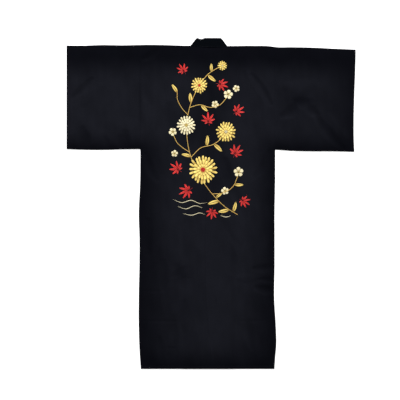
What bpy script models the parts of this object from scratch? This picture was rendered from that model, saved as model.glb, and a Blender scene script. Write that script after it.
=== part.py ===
"""A kimono robe laid flat with its back upwards, as the pieces of cloth that it is sewn from.

Metres. X runs across the robe, Y from the hem up to the collar, and Z up from the surface that it lies on.
Left and right are the wearer's, and the wearer's left is at -X. The left front is the outer one, so it lies lowest.
"""

import math
from collections import namedtuple

import bmesh
import bpy
import numpy as np

for old in list(bpy.data.objects):
    bpy.data.objects.remove(old, do_unlink=True)

# Cloth
CLOTH = 0.0012
COLLAR_CLOTH = 0.0020
SEAM = 0.0003  # between pieces that are sewn edge to edge
LAYER_GAP = 0.0008  # between layers that lie on each other

# The whole robe
LENGTH = 1.470
SPAN = 1.284
HEM_Y = -LENGTH / 2
TOP_Y = LENGTH / 2
ARMHOLE_Y = 0.234  # where the sleeves stop and the side seams start

# The fronts, which are hidden from above
LEFT_FRONT_EDGE = -0.065
RIGHT_FRONT_EDGE = 0.034
COLLAR_END_Y = -0.080
COLLAR_WIDTH = 0.045
OVERLAP_TIP_WIDTH = 0.003

# How far the back stands clear of the layers under it, and how it rounds down to its edges
LOFT = 0.0031
LOFT_LOST = 0.6  # share of the height of the layers beneath that the loft gives up
RISE_POWER = 2.5
SHOULDER_ROLL = 0.075
HEM_ROLL = 0.080
SIDE_ROLL = 0.065
LEFT_CUFF_ROLL = 0.030
RIGHT_CUFF_ROLL = 0.085
UNDERARM_ROLL = 0.045
RAMP = 0.030  # over which cloth climbs onto the layer beneath it
FLAT_BY_FOLD = 0.005  # from a sleeve's fold to the first row of its back

# The neck
COLLAR_FOLD_HEIGHT = 0.0050
NECK_DROP = 0.0035  # neck seam below the shoulder fold, at its ends
BACK_NECK_DIP = 0.0035  # how much lower the seam is in the middle of the back

BodySection = namedtuple("BodySection", "y left centre right")
BODY = (
    BodySection(HEM_Y, -0.3118, 0.0020, 0.2812),
    BodySection(-0.690, -0.3153, 0.0000, 0.2842),
    BodySection(-0.620, -0.3190, -0.0040, 0.2896),
    BodySection(-0.540, -0.3212, -0.0130, 0.2872),
    BodySection(-0.430, -0.3212, -0.0220, 0.2806),
    BodySection(-0.270, -0.3182, -0.0258, 0.2820),
    BodySection(-0.160, -0.3178, -0.0270, 0.2820),
    BodySection(-0.050, -0.3210, -0.0220, 0.2818),
    BodySection(0.100, -0.3148, -0.0170, 0.2843),
    BodySection(ARMHOLE_Y, -0.3140, -0.0150, 0.2846),
    BodySection(0.265, -0.3140, -0.0150, 0.2846),
    BodySection(TOP_Y, -0.3140, -0.0140, 0.2846),
)

SleeveSection = namedtuple("SleeveSection", "x top bottom")
SLEEVES = (
    SleeveSection(-SPAN / 2, 0.7017, 0.2415),
    SleeveSection(-0.560, 0.7017, 0.2385),
    SleeveSection(-0.490, 0.7040, 0.2380),
    SleeveSection(-0.400, 0.7030, 0.2402),
    SleeveSection(-0.270, 0.7050, 0.2415),
    SleeveSection(-0.091, 0.7008, 0.2410),
    SleeveSection(0.072, 0.6994, 0.2400),
    SleeveSection(0.190, 0.7004, 0.2395),
    SleeveSection(0.262, 0.6986, 0.2390),
    SleeveSection(0.288, 0.6950, 0.2385),
    SleeveSection(0.360, 0.6944, 0.2336),
    SleeveSection(0.450, 0.6926, 0.2316),
    SleeveSection(0.550, 0.6876, 0.2314),
    SleeveSection(SPAN / 2, 0.6838, 0.2294),
)

CuffSection = namedtuple("CuffSection", "y left right")
CUFFS = (
    CuffSection(0.234, -SPAN / 2, 0.6362),
    CuffSection(0.280, -SPAN / 2, 0.6340),
    CuffSection(0.380, -SPAN / 2, 0.6335),
    CuffSection(0.490, -SPAN / 2, 0.6363),
    CuffSection(0.600, -SPAN / 2, 0.6405),
    CuffSection(0.660, -SPAN / 2, SPAN / 2),
)

# The front stretches of the collar: its sewn edge and its free edge, at its end and at the shoulder
BandSection = namedtuple("BandSection", "sewn_x sewn_y free_x free_y")
LEFT_BAND = (
    BandSection(0.0400, COLLAR_END_Y + SEAM, 0.0850, COLLAR_END_Y + SEAM),
    BandSection(-0.0912, 0.7003, -0.0650, 0.7343),
)
RIGHT_BAND = (
    BandSection(-0.0710, COLLAR_END_Y + SEAM, -0.1160, COLLAR_END_Y + SEAM),
    BandSection(0.0717, 0.6990, 0.0475, 0.7325),
)

# The free edge of the collar behind the neck, with the nick that it has near its left end
NeckSection = namedtuple("NeckSection", "x y")
COLLAR_TOP = (
    NeckSection(-0.0650, 0.7343),
    NeckSection(-0.0585, 0.7343),
    NeckSection(-0.0500, 0.7308),
    NeckSection(-0.0410, 0.7298),
    NeckSection(-0.0340, 0.7325),
    NeckSection(-0.0280, TOP_Y),
    NeckSection(0.0430, TOP_Y),
    NeckSection(0.0475, 0.7325),
)

# Soft creases in the back layer: each runs from one point to another, and depth is the share of the loft it takes
Crease = namedtuple("Crease", "x y to_x to_y half_width depth")
CREASES = (
    Crease(-0.008, 0.700, -0.012, 0.500, 0.060, 0.45),
    Crease(-0.611, 0.471, -0.531, 0.551, 0.035, 0.60),
    Crease(-0.571, 0.328, -0.565, 0.245, 0.035, 0.70),
    Crease(-0.384, 0.310, -0.390, 0.245, 0.040, 0.60),
    Crease(-0.286, 0.560, -0.272, 0.440, 0.035, 0.45),
    Crease(0.182, 0.575, 0.270, 0.435, 0.035, 0.70),
    Crease(0.320, 0.410, 0.388, 0.470, 0.038, 0.80),
    Crease(0.396, 0.475, 0.450, 0.415, 0.038, 0.80),
    Crease(0.450, 0.410, 0.574, 0.250, 0.035, 0.55),
    Crease(-0.183, 0.430, -0.178, 0.260, 0.045, 0.50),
    Crease(-0.050, 0.200, -0.046, 0.090, 0.040, 0.45),
    Crease(0.062, 0.190, 0.122, 0.010, 0.036, 0.65),
    Crease(-0.281, -0.080, -0.279, -0.220, 0.034, 0.50),
    Crease(-0.150, -0.290, -0.130, -0.320, 0.045, 0.55),
    Crease(-0.214, -0.260, -0.212, -0.380, 0.032, 0.45),
    Crease(-0.121, -0.440, -0.118, -0.570, 0.034, 0.45),
    Crease(0.080, -0.190, 0.086, -0.300, 0.034, 0.45),
    Crease(0.190, -0.290, 0.280, -0.278, 0.036, 0.50),
    Crease(0.200, -0.375, 0.280, -0.385, 0.040, 0.55),
)

# How many squares of cloth each stretch is modelled with
SIDE_TO_NECK = 12
NECK_TO_CENTRE = 5
NECK_TO_FRONT_EDGE = 2
HEM_TO_ARMHOLE = 36
ARMHOLE_TO_SHOULDER = 18
FOLD_STEPS = 6
FRONT_ROWS = 24
SLEEVE_COLUMNS = 18
SLEEVE_BACK_ROWS = 20
SLEEVE_FRONT_ROWS = 4
OVERLAP_COLUMNS = 5
OVERLAP_OUTER_COLUMNS = 2
OVERLAP_ROWS = 12
BAND_ROWS = 16
BAND_COLUMNS = 3
NECK_ROWS = 10

CLOTH_COLOUR = (0.0085, 0.0090, 0.0135)
COLLAR_COLOUR = (0.0080, 0.0090, 0.0140)
CLOTH_ROUGHNESS = 0.82


def read(table, key, place, column):
    """The value of one column of a table at a place along its key column, straight between rows."""
    keys = [getattr(row, key) for row in table]
    values = [getattr(row, column) for row in table]
    return float(np.interp(place, keys, values))


def mix(start, end, share):
    return start + (end - start) * share


def ease(distance, roll):
    """0 at an edge and 1 from one roll inside it on, steep at the edge and level at the end."""
    share = min(max(distance / roll, 0), 1)
    return 1 - (1 - share) ** RISE_POWER


def climb(inside):
    """1 over a layer beneath and 0 from one ramp outside it on."""
    share = min(max(1 + inside / RAMP, 0), 1)
    return share * share * (3 - 2 * share)


def band_x(band, edge, y):
    """X of the sewn or the free edge of a front stretch of the collar, or straight down from its end."""
    end, shoulder = band
    low, high = getattr(end, edge + "_y"), getattr(shoulder, edge + "_y")
    share = min(max((y - low) / (high - low), 0), 1)
    return mix(getattr(end, edge + "_x"), getattr(shoulder, edge + "_x"), share)


def over_band(band, x, y):
    """How far a place lies over a front stretch of the collar, from 0 to 1."""
    middle = (band_x(band, "sewn", y) + band_x(band, "free", y)) / 2
    across = climb(COLLAR_WIDTH / 2 - abs(x - middle))
    return across * climb(y - COLLAR_END_Y)


def over_left(x, y):
    """How far a place lies over the left front, its overlap panel and its collar."""
    return climb(band_x(LEFT_BAND, "free", y) - x)


def over_both(x, y):
    """How far a place lies over the left and the right front together."""
    return over_left(x, y) * climb(x - band_x(RIGHT_BAND, "free", y))


def right_front_z(x, y):
    """The underside of the right front, which lies on the ground or on the left front."""
    on_left = (CLOTH + LAYER_GAP) * over_left(x, y)
    return on_left + (COLLAR_CLOTH - CLOTH) * over_band(LEFT_BAND, x, y)


def crown(x, y):
    """0 along the robe's outline and 1 where the back lies at its full loft."""
    shoulder = ease(read(SLEEVES, "x", x, "top") - y, SHOULDER_ROLL)
    sleeves = ease(x - read(CUFFS, "y", y, "left"), LEFT_CUFF_ROLL)
    sleeves *= ease(read(CUFFS, "y", y, "right") - x, RIGHT_CUFF_ROLL)
    sleeves *= ease(y - read(SLEEVES, "x", x, "bottom"), UNDERARM_ROLL)
    body = ease(x - read(BODY, "y", y, "left"), SIDE_ROLL)
    body *= ease(read(BODY, "y", y, "right") - x, SIDE_ROLL)
    body *= ease(y - HEM_Y, HEM_ROLL)
    return shoulder * (1 - (1 - sleeves) * (1 - body))


def creased(x, y):
    """The share of the loft that the deepest crease at a place takes."""
    deepest = 0
    for crease in CREASES:
        run_x, run_y = crease.to_x - crease.x, crease.to_y - crease.y
        along = ((x - crease.x) * run_x + (y - crease.y) * run_y) / (run_x**2 + run_y**2)
        along = min(max(along, 0), 1)
        off = math.hypot(x - crease.x - along * run_x, y - crease.y - along * run_y)
        bell = max(1 - (off / crease.half_width) ** 2, 0) ** 2
        deepest = max(deepest, crease.depth * bell)
    return deepest


def back_z(x, y):
    """The upper face of the back layer, which rests on the fronts along its edges and stands clear inside them."""
    left_band, right_band = over_band(LEFT_BAND, x, y), over_band(RIGHT_BAND, x, y)
    both = over_both(x, y)
    layers = CLOTH + (CLOTH + LAYER_GAP) * both
    layers += (COLLAR_CLOTH - CLOTH) * (left_band + right_band)
    clear = mix(SEAM, LAYER_GAP, max(both, left_band, right_band))
    loft = LOFT - LOFT_LOST * (layers - CLOTH)
    return layers + clear + CLOTH + loft * crown(x, y) * (1 - creased(x, y))


def material(name, colour):
    made = bpy.data.materials.new(name)
    made.use_nodes = True
    shader = made.node_tree.nodes["Principled BSDF"]
    shader.inputs["Base Color"].default_value = (*colour, 1)
    shader.inputs["Roughness"].default_value = CLOTH_ROUGHNESS
    shader.inputs["Metallic"].default_value = 0
    return made


def squares(first_column, last_column, first_row, last_row):
    """The squares of a grid between two columns and two rows, as their four corners."""
    for column in range(first_column, last_column):
        for row in range(first_row, last_row):
            yield (column, row), (column + 1, row), (column + 1, row + 1), (column, row + 1)


def sewn_piece(name, points, corners, wall, colour, mirrored=False):
    """A piece of cloth: the outer face through the grid's points, thickened inwards to its wall."""
    shape = bmesh.new()
    made = {key: shape.verts.new(place) for key, place in points.items()}
    for square in corners:
        around = [made[key] for key in square]
        shape.faces.new(around[::-1] if mirrored else around)
    mesh = bpy.data.meshes.new(name)
    shape.to_mesh(mesh)
    shape.free()
    mesh.materials.append(material(name + "_cloth", colour))
    mesh.shade_smooth()
    piece = bpy.data.objects.new(name, mesh)
    robe.objects.link(piece)
    piece.parent = origin
    thickness = piece.modifiers.new("cloth", "SOLIDIFY")
    thickness.thickness = wall
    thickness.offset = -1
    return piece


def fold_arc(middle_y, height, outwards):
    """Points round a fold from its upper face to the ground, outwards being 1 up the robe and -1 down it."""
    radius = height / 2
    for step in range(FOLD_STEPS + 1):
        angle = math.pi * step / FOLD_STEPS
        yield middle_y + outwards * radius * math.sin(angle), radius * (1 + math.cos(angle))


Side = namedtuple("Side", "name sign front_edge band front_z")
LEFT = Side("left", -1, LEFT_FRONT_EDGE, LEFT_BAND, lambda x, y: 0)
RIGHT = Side("right", 1, RIGHT_FRONT_EDGE, RIGHT_BAND, right_front_z)


def neck_seam_y(x):
    """The sewn edge of the collar behind the neck: just below its two folds, and lower in the middle."""
    start, end = LEFT_BAND[1], RIGHT_BAND[1]
    share = min(max((x - start.sewn_x) / (end.sewn_x - start.sewn_x), 0), 1)
    level = mix(start.sewn_y, end.sewn_y, share) - COLLAR_FOLD_HEIGHT / 2
    return level - BACK_NECK_DIP * math.sin(math.pi * share)


def body_panel(side):
    """Back and front in one length, folded at the shoulder and cut away round the neck.

    Columns run from the side seam to the neck and on to the centre back seam. Rows run up the back from the hem,
    over the shoulder fold and down the front to the hem.
    """
    neck_x = side.band[1].sewn_x + side.sign * SEAM
    side_column, centre_column = side.name, "centre"
    shoulder_side = read(BODY, "y", TOP_Y, side_column)
    shoulder_centre = read(BODY, "y", TOP_Y, centre_column)
    neck_share = (neck_x - shoulder_side) / (shoulder_centre - shoulder_side)

    def x_at(share, y):
        edge = read(BODY, "y", y, side_column) - side.sign * SEAM / 2
        centre = read(BODY, "y", y, centre_column) + side.sign * SEAM / 2
        return mix(edge, centre, share)

    points = {}
    back_rows = HEM_TO_ARMHOLE + ARMHOLE_TO_SHOULDER
    shares = [neck_share * column / SIDE_TO_NECK for column in range(SIDE_TO_NECK)]
    shares += [mix(neck_share, 1, step / NECK_TO_CENTRE) for step in range(NECK_TO_CENTRE + 1)]
    for column, share in enumerate(shares):
        at_top = x_at(share, TOP_Y)
        top_y = read(SLEEVES, "x", at_top, "top") - NECK_DROP
        if column > SIDE_TO_NECK:
            top_y = neck_seam_y(at_top) - SEAM
        levels = [mix(HEM_Y, ARMHOLE_Y, row / HEM_TO_ARMHOLE) for row in range(HEM_TO_ARMHOLE)]
        levels += [mix(ARMHOLE_Y, top_y, row / ARMHOLE_TO_SHOULDER) for row in range(ARMHOLE_TO_SHOULDER + 1)]
        for row, y in enumerate(levels):
            x = x_at(share, y)
            points[column, row] = (x, y, back_z(x, y))

    fold_row = back_rows + 1
    front_row = fold_row + FOLD_STEPS + 1
    for column in range(SIDE_TO_NECK + 1):
        x = points[column, back_rows][0]
        top = read(SLEEVES, "x", x, "top")
        height = back_z(x, top)
        for step, (y, z) in enumerate(fold_arc(top - height / 2, height, 1)):
            points[column, fold_row + step] = (x, y, z)

    end, shoulder = side.band
    for column in range(SIDE_TO_NECK + NECK_TO_FRONT_EDGE + 1):
        top_y = points[min(column, SIDE_TO_NECK), back_rows][1]
        beyond_neck = max(column - SIDE_TO_NECK, 0) / NECK_TO_FRONT_EDGE
        if beyond_neck:
            cut_x = mix(neck_x, side.front_edge, beyond_neck)
            share = (cut_x - side.sign * SEAM - end.sewn_x) / (shoulder.sewn_x - end.sewn_x)
            top_y = mix(end.sewn_y, shoulder.sewn_y, share)
        for row in range(FRONT_ROWS + 1):
            y = mix(top_y, HEM_Y, row / FRONT_ROWS)
            x = mix(x_at(shares[min(column, SIDE_TO_NECK)], y), side.front_edge, beyond_neck)
            points[column, front_row + row] = (x, y, side.front_z(x, y))

    corners = list(squares(0, len(shares) - 1, 0, back_rows))
    corners += squares(0, SIDE_TO_NECK, back_rows, front_row)
    corners += squares(0, SIDE_TO_NECK + NECK_TO_FRONT_EDGE, front_row, front_row + FRONT_ROWS)
    sewn_piece("body_panel_" + side.name, points, corners, CLOTH, CLOTH_COLOUR, side.sign > 0)


def sleeve(side):
    """One length folded at the top and closed at the bottom: a flat tube from the cuff to the armhole."""
    seam_x = read(BODY, "y", TOP_Y, side.name) + side.sign * SEAM / 2
    points = {}
    for column in range(SLEEVE_COLUMNS + 1):

        def x_at(y):
            return mix(read(CUFFS, "y", y, side.name), seam_x, column / SLEEVE_COLUMNS)

        middle_x = x_at(mix(ARMHOLE_Y, TOP_Y, 0.5))
        top, bottom = (read(SLEEVES, "x", middle_x, edge) for edge in ("top", "bottom"))
        top_height, bottom_height = back_z(middle_x, top), back_z(middle_x, bottom)
        top_middle, bottom_middle = top - top_height / 2, bottom + bottom_height / 2
        loop = []
        for row in range(SLEEVE_BACK_ROWS + 1):
            y = mix(bottom_middle + FLAT_BY_FOLD, top_middle - FLAT_BY_FOLD, row / SLEEVE_BACK_ROWS)
            loop.append((y, back_z(x_at(y), y)))
        loop += fold_arc(top_middle, top_height, 1)
        for row in range(1, SLEEVE_FRONT_ROWS):
            loop.append((mix(top_middle, bottom_middle, row / SLEEVE_FRONT_ROWS), 0))
        loop += reversed(list(fold_arc(bottom_middle, bottom_height, -1)))
        for row, (y, z) in enumerate(loop):
            points[column, row] = (x_at(y), y, z)
    rows = len(loop)
    corners = [
        tuple((column, row % rows) for column, row in square)
        for square in squares(0, SLEEVE_COLUMNS, 0, rows)
    ]
    sewn_piece("sleeve_" + side.name, points, corners, CLOTH, CLOTH_COLOUR, side.sign > 0)


def overlap_panel(side):
    """The long panel on the front's edge, cut to a point where the collar is sewn on."""
    end, shoulder = side.band
    towards_edge = -side.sign
    sewn_x = side.front_edge + towards_edge * SEAM
    tip_x = sewn_x + towards_edge * OVERLAP_TIP_WIDTH
    tip_share = (tip_x + towards_edge * SEAM - end.sewn_x) / (shoulder.sewn_x - end.sewn_x)
    tip_y = mix(end.sewn_y, shoulder.sewn_y, tip_share)
    points = {}
    last_column = OVERLAP_COLUMNS + OVERLAP_OUTER_COLUMNS
    for row in range(2 * OVERLAP_ROWS + 1):
        below, above = min(row / OVERLAP_ROWS, 1), max(row / OVERLAP_ROWS - 1, 0)
        y = mix(HEM_Y, COLLAR_END_Y, below) + (tip_y - COLLAR_END_Y) * above
        cut_x = mix(end.sewn_x - towards_edge * SEAM, tip_x, above)
        for column in range(OVERLAP_COLUMNS + 1):
            x = mix(sewn_x, cut_x, column / OVERLAP_COLUMNS)
            points[column, row] = (x, y, side.front_z(x, y))
        if row <= OVERLAP_ROWS:
            for step in range(1, OVERLAP_OUTER_COLUMNS + 1):
                x = mix(cut_x, end.free_x, step / OVERLAP_OUTER_COLUMNS)
                points[OVERLAP_COLUMNS + step, row] = (x, y, side.front_z(x, y))
    corners = list(squares(0, OVERLAP_COLUMNS, 0, 2 * OVERLAP_ROWS))
    corners += squares(OVERLAP_COLUMNS, last_column, 0, OVERLAP_ROWS)
    sewn_piece("overlap_panel_" + side.name, points, corners, CLOTH, CLOTH_COLOUR, side.sign < 0)


def collar():
    """One band: up the left front edge, folded over beside the neck, behind it, folded again and down the right."""
    radius = COLLAR_FOLD_HEIGHT / 2

    def turn(band, outwards):
        """The two ends of the fold's middle line beside the neck, and the direction that the fold bulges in."""
        shoulder = band[1]
        run_x, run_y = shoulder.free_x - shoulder.sewn_x, shoulder.free_y - shoulder.sewn_y
        length = math.hypot(run_x, run_y)
        bulge_x, bulge_y = outwards * run_y / length, -outwards * run_x / length
        sewn = (shoulder.sewn_x - radius * bulge_x, shoulder.sewn_y - radius * bulge_y)
        free = (shoulder.free_x - radius * bulge_x, shoulder.free_y - radius * bulge_y)
        return sewn, free, (bulge_x, bulge_y)

    def across(sewn, free, height):
        """One row of the band's outer face, from its sewn edge to its free edge."""
        for column in range(BAND_COLUMNS + 1):
            share = column / BAND_COLUMNS
            x, y = mix(sewn[0], free[0], share), mix(sewn[1], free[1], share)
            yield x, y, height(x, y)

    def front_rows(side):
        end, shoulder = side.band
        for row in range(BAND_ROWS):
            share = row / BAND_ROWS
            low = (mix(end.sewn_x, shoulder.sewn_x, share), mix(end.sewn_y, shoulder.sewn_y, share))
            high = (mix(end.free_x, shoulder.free_x, share), mix(end.free_y, shoulder.free_y, share))
            yield list(across(low, high, side.front_z))

    def fold_rows(side, outwards):
        sewn, free, bulge = turn(side.band, outwards)
        for step in range(FOLD_STEPS + 1):
            angle = math.pi * step / FOLD_STEPS
            out, z = radius * math.sin(angle), radius * (1 - math.cos(angle))
            low = (sewn[0] + out * bulge[0], sewn[1] + out * bulge[1])
            high = (free[0] + out * bulge[0], free[1] + out * bulge[1])
            yield list(across(low, high, lambda x, y: z))

    def neck_rows():
        left_sewn, left_free, _ = turn(LEFT_BAND, -1)
        right_sewn, right_free, _ = turn(RIGHT_BAND, 1)
        for row in range(1, NECK_ROWS):
            share = row / NECK_ROWS
            sewn_x = mix(left_sewn[0], right_sewn[0], share)
            free_x = mix(left_free[0], right_free[0], share)
            low = (sewn_x, neck_seam_y(sewn_x))
            high = (free_x, read(COLLAR_TOP, "x", free_x, "y"))
            yield list(across(low, high, lambda x, y: COLLAR_FOLD_HEIGHT))

    rows = list(front_rows(LEFT)) + list(fold_rows(LEFT, -1)) + list(neck_rows())
    rows += reversed(list(front_rows(RIGHT)) + list(fold_rows(RIGHT, 1)))
    points = {(column, row): place for row, line in enumerate(rows) for column, place in enumerate(line)}
    corners = squares(0, BAND_COLUMNS, 0, len(rows) - 1)
    sewn_piece("collar", points, corners, COLLAR_CLOTH, COLLAR_COLOUR, True)


robe = bpy.data.collections.new("kimono_robe")
bpy.context.scene.collection.children.link(robe)
origin = bpy.data.objects.new("kimono_robe_origin", None)
robe.objects.link(origin)

for worn_side in (LEFT, RIGHT):
    body_panel(worn_side)
    overlap_panel(worn_side)
    sleeve(worn_side)
collar()
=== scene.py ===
"""A kimono robe laid flat with its back upwards: its cloth, seams, stitching and embroidery.

Metres. X runs across the robe, Y from the hem up to the collar, and Z up from the table that it lies on.
Left and right are the wearer's. The wearer's left is at -X, and the left front is the outer one.
"""

import math
from collections import namedtuple

import bpy
import numpy as np
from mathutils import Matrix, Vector


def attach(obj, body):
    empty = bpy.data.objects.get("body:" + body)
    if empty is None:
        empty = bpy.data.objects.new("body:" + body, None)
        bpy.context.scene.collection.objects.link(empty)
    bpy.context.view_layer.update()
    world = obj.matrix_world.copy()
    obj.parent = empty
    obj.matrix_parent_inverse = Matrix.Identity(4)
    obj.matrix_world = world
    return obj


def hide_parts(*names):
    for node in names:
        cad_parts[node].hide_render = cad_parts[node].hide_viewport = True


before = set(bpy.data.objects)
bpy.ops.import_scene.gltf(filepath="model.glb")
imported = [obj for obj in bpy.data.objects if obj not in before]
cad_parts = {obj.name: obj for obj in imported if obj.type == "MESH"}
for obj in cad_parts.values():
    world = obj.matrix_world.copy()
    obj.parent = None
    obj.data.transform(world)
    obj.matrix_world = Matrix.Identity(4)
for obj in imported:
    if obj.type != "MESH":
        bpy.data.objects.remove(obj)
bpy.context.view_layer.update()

# The table that the robe is laid out on, a wide white board in a bright room, with the camera straight above.
# One large soft lamp stands low beyond the collar, so that the creases show.
VIEW_WIDTH = 1.7776  # of the table that the camera sees
VIEW_MIDDLE = (-0.0491, 0.0155)
CAMERA_HEIGHT = 4.8
FILM_MM = 36
TABLE_SIZE = 60
TABLE_TOP = -0.0004  # a little under the cloth, which lies on it with its weave
TABLE_WHITE = (0.97, 0.97, 0.97, 1)
TABLE_ROUGHNESS = 0.9
TABLE_GLOW = 0.10  # it is lit a little from below, as for a catalogue picture
ROOM_WHITE = (1, 1, 1, 1)
ROOM_LIGHT = 1.0
LAMP_PLACE = (-1.5, 5.5, 3.2)
LAMP_SIZE = 2.4
LAMP_WATTS = 560

camera = bpy.data.objects.new("camera", bpy.data.cameras.new("camera"))
camera.location = (*VIEW_MIDDLE, CAMERA_HEIGHT)
camera.data.sensor_width = FILM_MM
camera.data.lens = FILM_MM * CAMERA_HEIGHT / VIEW_WIDTH
bpy.context.scene.collection.objects.link(camera)
bpy.context.scene.camera = camera
bpy.context.scene.view_settings.view_transform = "Standard"

room = bpy.data.worlds.new("bright_room")
room.use_nodes = True
room.node_tree.nodes["Background"].inputs["Color"].default_value = ROOM_WHITE
room.node_tree.nodes["Background"].inputs["Strength"].default_value = ROOM_LIGHT
bpy.context.scene.world = room

lamp = bpy.data.objects.new("soft_lamp", bpy.data.lights.new("soft_lamp", "AREA"))
lamp.data.size = LAMP_SIZE
lamp.data.energy = LAMP_WATTS
lamp.location = LAMP_PLACE
lamp.rotation_mode = "QUATERNION"
lamp.rotation_quaternion = (-Vector(LAMP_PLACE)).to_track_quat("-Z", "Y")
bpy.context.scene.collection.objects.link(lamp)

bpy.ops.mesh.primitive_plane_add(size=TABLE_SIZE, location=(0, 0, TABLE_TOP))
table = bpy.context.object
table.name = "table"
white_board = bpy.data.materials.new("white_board")
white_board.use_nodes = True
board_sockets = white_board.node_tree.nodes["Principled BSDF"].inputs
board_sockets["Base Color"].default_value = TABLE_WHITE
board_sockets["Roughness"].default_value = TABLE_ROUGHNESS
board_sockets["Emission Color"].default_value = ROOM_WHITE
board_sockets["Emission Strength"].default_value = TABLE_GLOW
table.data.materials.append(white_board)

# The body panels, each one length of black plain weave that runs up the back and over the shoulder to the
# front hem. They meet in the centre back seam, where the left one is folded over the right by a needle's
# width. Side seams join back and front below the armholes, and the hem is turned twice and stitched.
CLOTH = 0.0012  # what each layer takes up with its air
THREAD_CLOTH = 0.0007  # the weave itself
HEM_CLOTH = 0.00125  # where it is turned
SEAM = 0.0003
SEWN_OVER = 0.0001  # how far two joined pieces pass each other, so that no light shows between them
TUCKED_UNDER = 0.0014  # how far the back's neck edge reaches in under the collar
LAYER_GAP = 0.0008
LENGTH = 1.470
SPAN = 1.284
HEM_Y = -LENGTH / 2
TOP_Y = LENGTH / 2
ARMHOLE_Y = 0.234
LEFT_FRONT_EDGE = -0.065
RIGHT_FRONT_EDGE = 0.034
COLLAR_END_Y = -0.080
COLLAR_WIDTH = 0.045
COLLAR_CLOTH = 0.0020
COLLAR_FOLD_HEIGHT = 0.0050
NECK_DROP = 0.0035
BACK_NECK_DIP = 0.0035
HEM_TURN = 0.013
BESIDE_NECK = 0.08  # the length by which the front's top edge is split into squares
FRONT_FLARE = 0.03  # how much wider the front is below the neck than beside it
SIDE_GAP = 0.00016  # between the edges of back and front at the side seam
SIDE_SEAM_START = 0.006  # how far below the armhole the side seam is drawn tight
FOLD_TAKES = 0.0015  # of cloth for each radian round the shoulder's fold
STITCHES_STOP = 0.004  # short of a seam

LOFT = 0.0042  # how far the back stands off the fronts in the middle of a panel
LOFT_LOST = 0.6  # of the height of whatever else lies beneath
RISE_POWER = 2.5  # how steeply the cloth climbs just inside an edge
RAMP = 0.030  # how wide a slope it has beside a layer beneath it
Edges = namedtuple("Edges", "shoulder left_cuff right_cuff underarm left_side right_side hem")
ROLLS = Edges(0.075, 0.030, 0.085, 0.045, 0.065, 0.065, 0.080)  # how far in it has climbed to its full loft

SQUARE = 0.0046  # of the mesh, in the middle of the back
HIDDEN_SQUARE = 0.0085
FINEST = 0.0004
GROWTH = 0.38  # of the distance from an edge, by which squares grow
ARC_STEPS = 8
EDGE_ARC_STEPS = 4

BodySection = namedtuple("BodySection", "y left centre right")
BODY = (
    BodySection(HEM_Y, -0.3118, 0.0020, 0.2812),
    BodySection(-0.690, -0.3153, 0.0000, 0.2842),
    BodySection(-0.620, -0.3190, -0.0040, 0.2896),
    BodySection(-0.540, -0.3212, -0.0130, 0.2872),
    BodySection(-0.430, -0.3212, -0.0220, 0.2806),
    BodySection(-0.270, -0.3182, -0.0258, 0.2820),
    BodySection(-0.160, -0.3178, -0.0270, 0.2820),
    BodySection(-0.050, -0.3210, -0.0220, 0.2818),
    BodySection(0.100, -0.3148, -0.0170, 0.2843),
    BodySection(ARMHOLE_Y, -0.3140, -0.0150, 0.2846),
    BodySection(0.265, -0.3140, -0.0150, 0.2846),
    BodySection(TOP_Y, -0.3140, -0.0140, 0.2846),
)

SleeveSection = namedtuple("SleeveSection", "x top bottom")
SLEEVES = (
    SleeveSection(-SPAN / 2, 0.7017, 0.2415),
    SleeveSection(-0.560, 0.7017, 0.2385),
    SleeveSection(-0.490, 0.7040, 0.2380),
    SleeveSection(-0.400, 0.7030, 0.2402),
    SleeveSection(-0.270, 0.7050, 0.2415),
    SleeveSection(-0.091, 0.7008, 0.2410),
    SleeveSection(0.072, 0.6994, 0.2400),
    SleeveSection(0.190, 0.7004, 0.2395),
    SleeveSection(0.262, 0.6986, 0.2390),
    SleeveSection(0.288, 0.6950, 0.2385),
    SleeveSection(0.360, 0.6944, 0.2336),
    SleeveSection(0.450, 0.6926, 0.2316),
    SleeveSection(0.550, 0.6876, 0.2314),
    SleeveSection(SPAN / 2, 0.6838, 0.2294),
)

CuffSection = namedtuple("CuffSection", "y left right")
CUFFS = (
    CuffSection(0.234, -SPAN / 2, 0.6362),
    CuffSection(0.280, -SPAN / 2, 0.6340),
    CuffSection(0.380, -SPAN / 2, 0.6335),
    CuffSection(0.490, -SPAN / 2, 0.6363),
    CuffSection(0.600, -SPAN / 2, 0.6405),
    CuffSection(0.660, -SPAN / 2, SPAN / 2),
)

BandSection = namedtuple("BandSection", "sewn_x sewn_y free_x free_y")
LEFT_BAND = (
    BandSection(0.0400, COLLAR_END_Y + SEAM, 0.0850, COLLAR_END_Y + SEAM),
    BandSection(-0.0912, 0.7003, -0.0650, 0.7343),
)
RIGHT_BAND = (
    BandSection(-0.0710, COLLAR_END_Y + SEAM, -0.1160, COLLAR_END_Y + SEAM),
    BandSection(0.0717, 0.6990, 0.0475, 0.7325),
)

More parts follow.
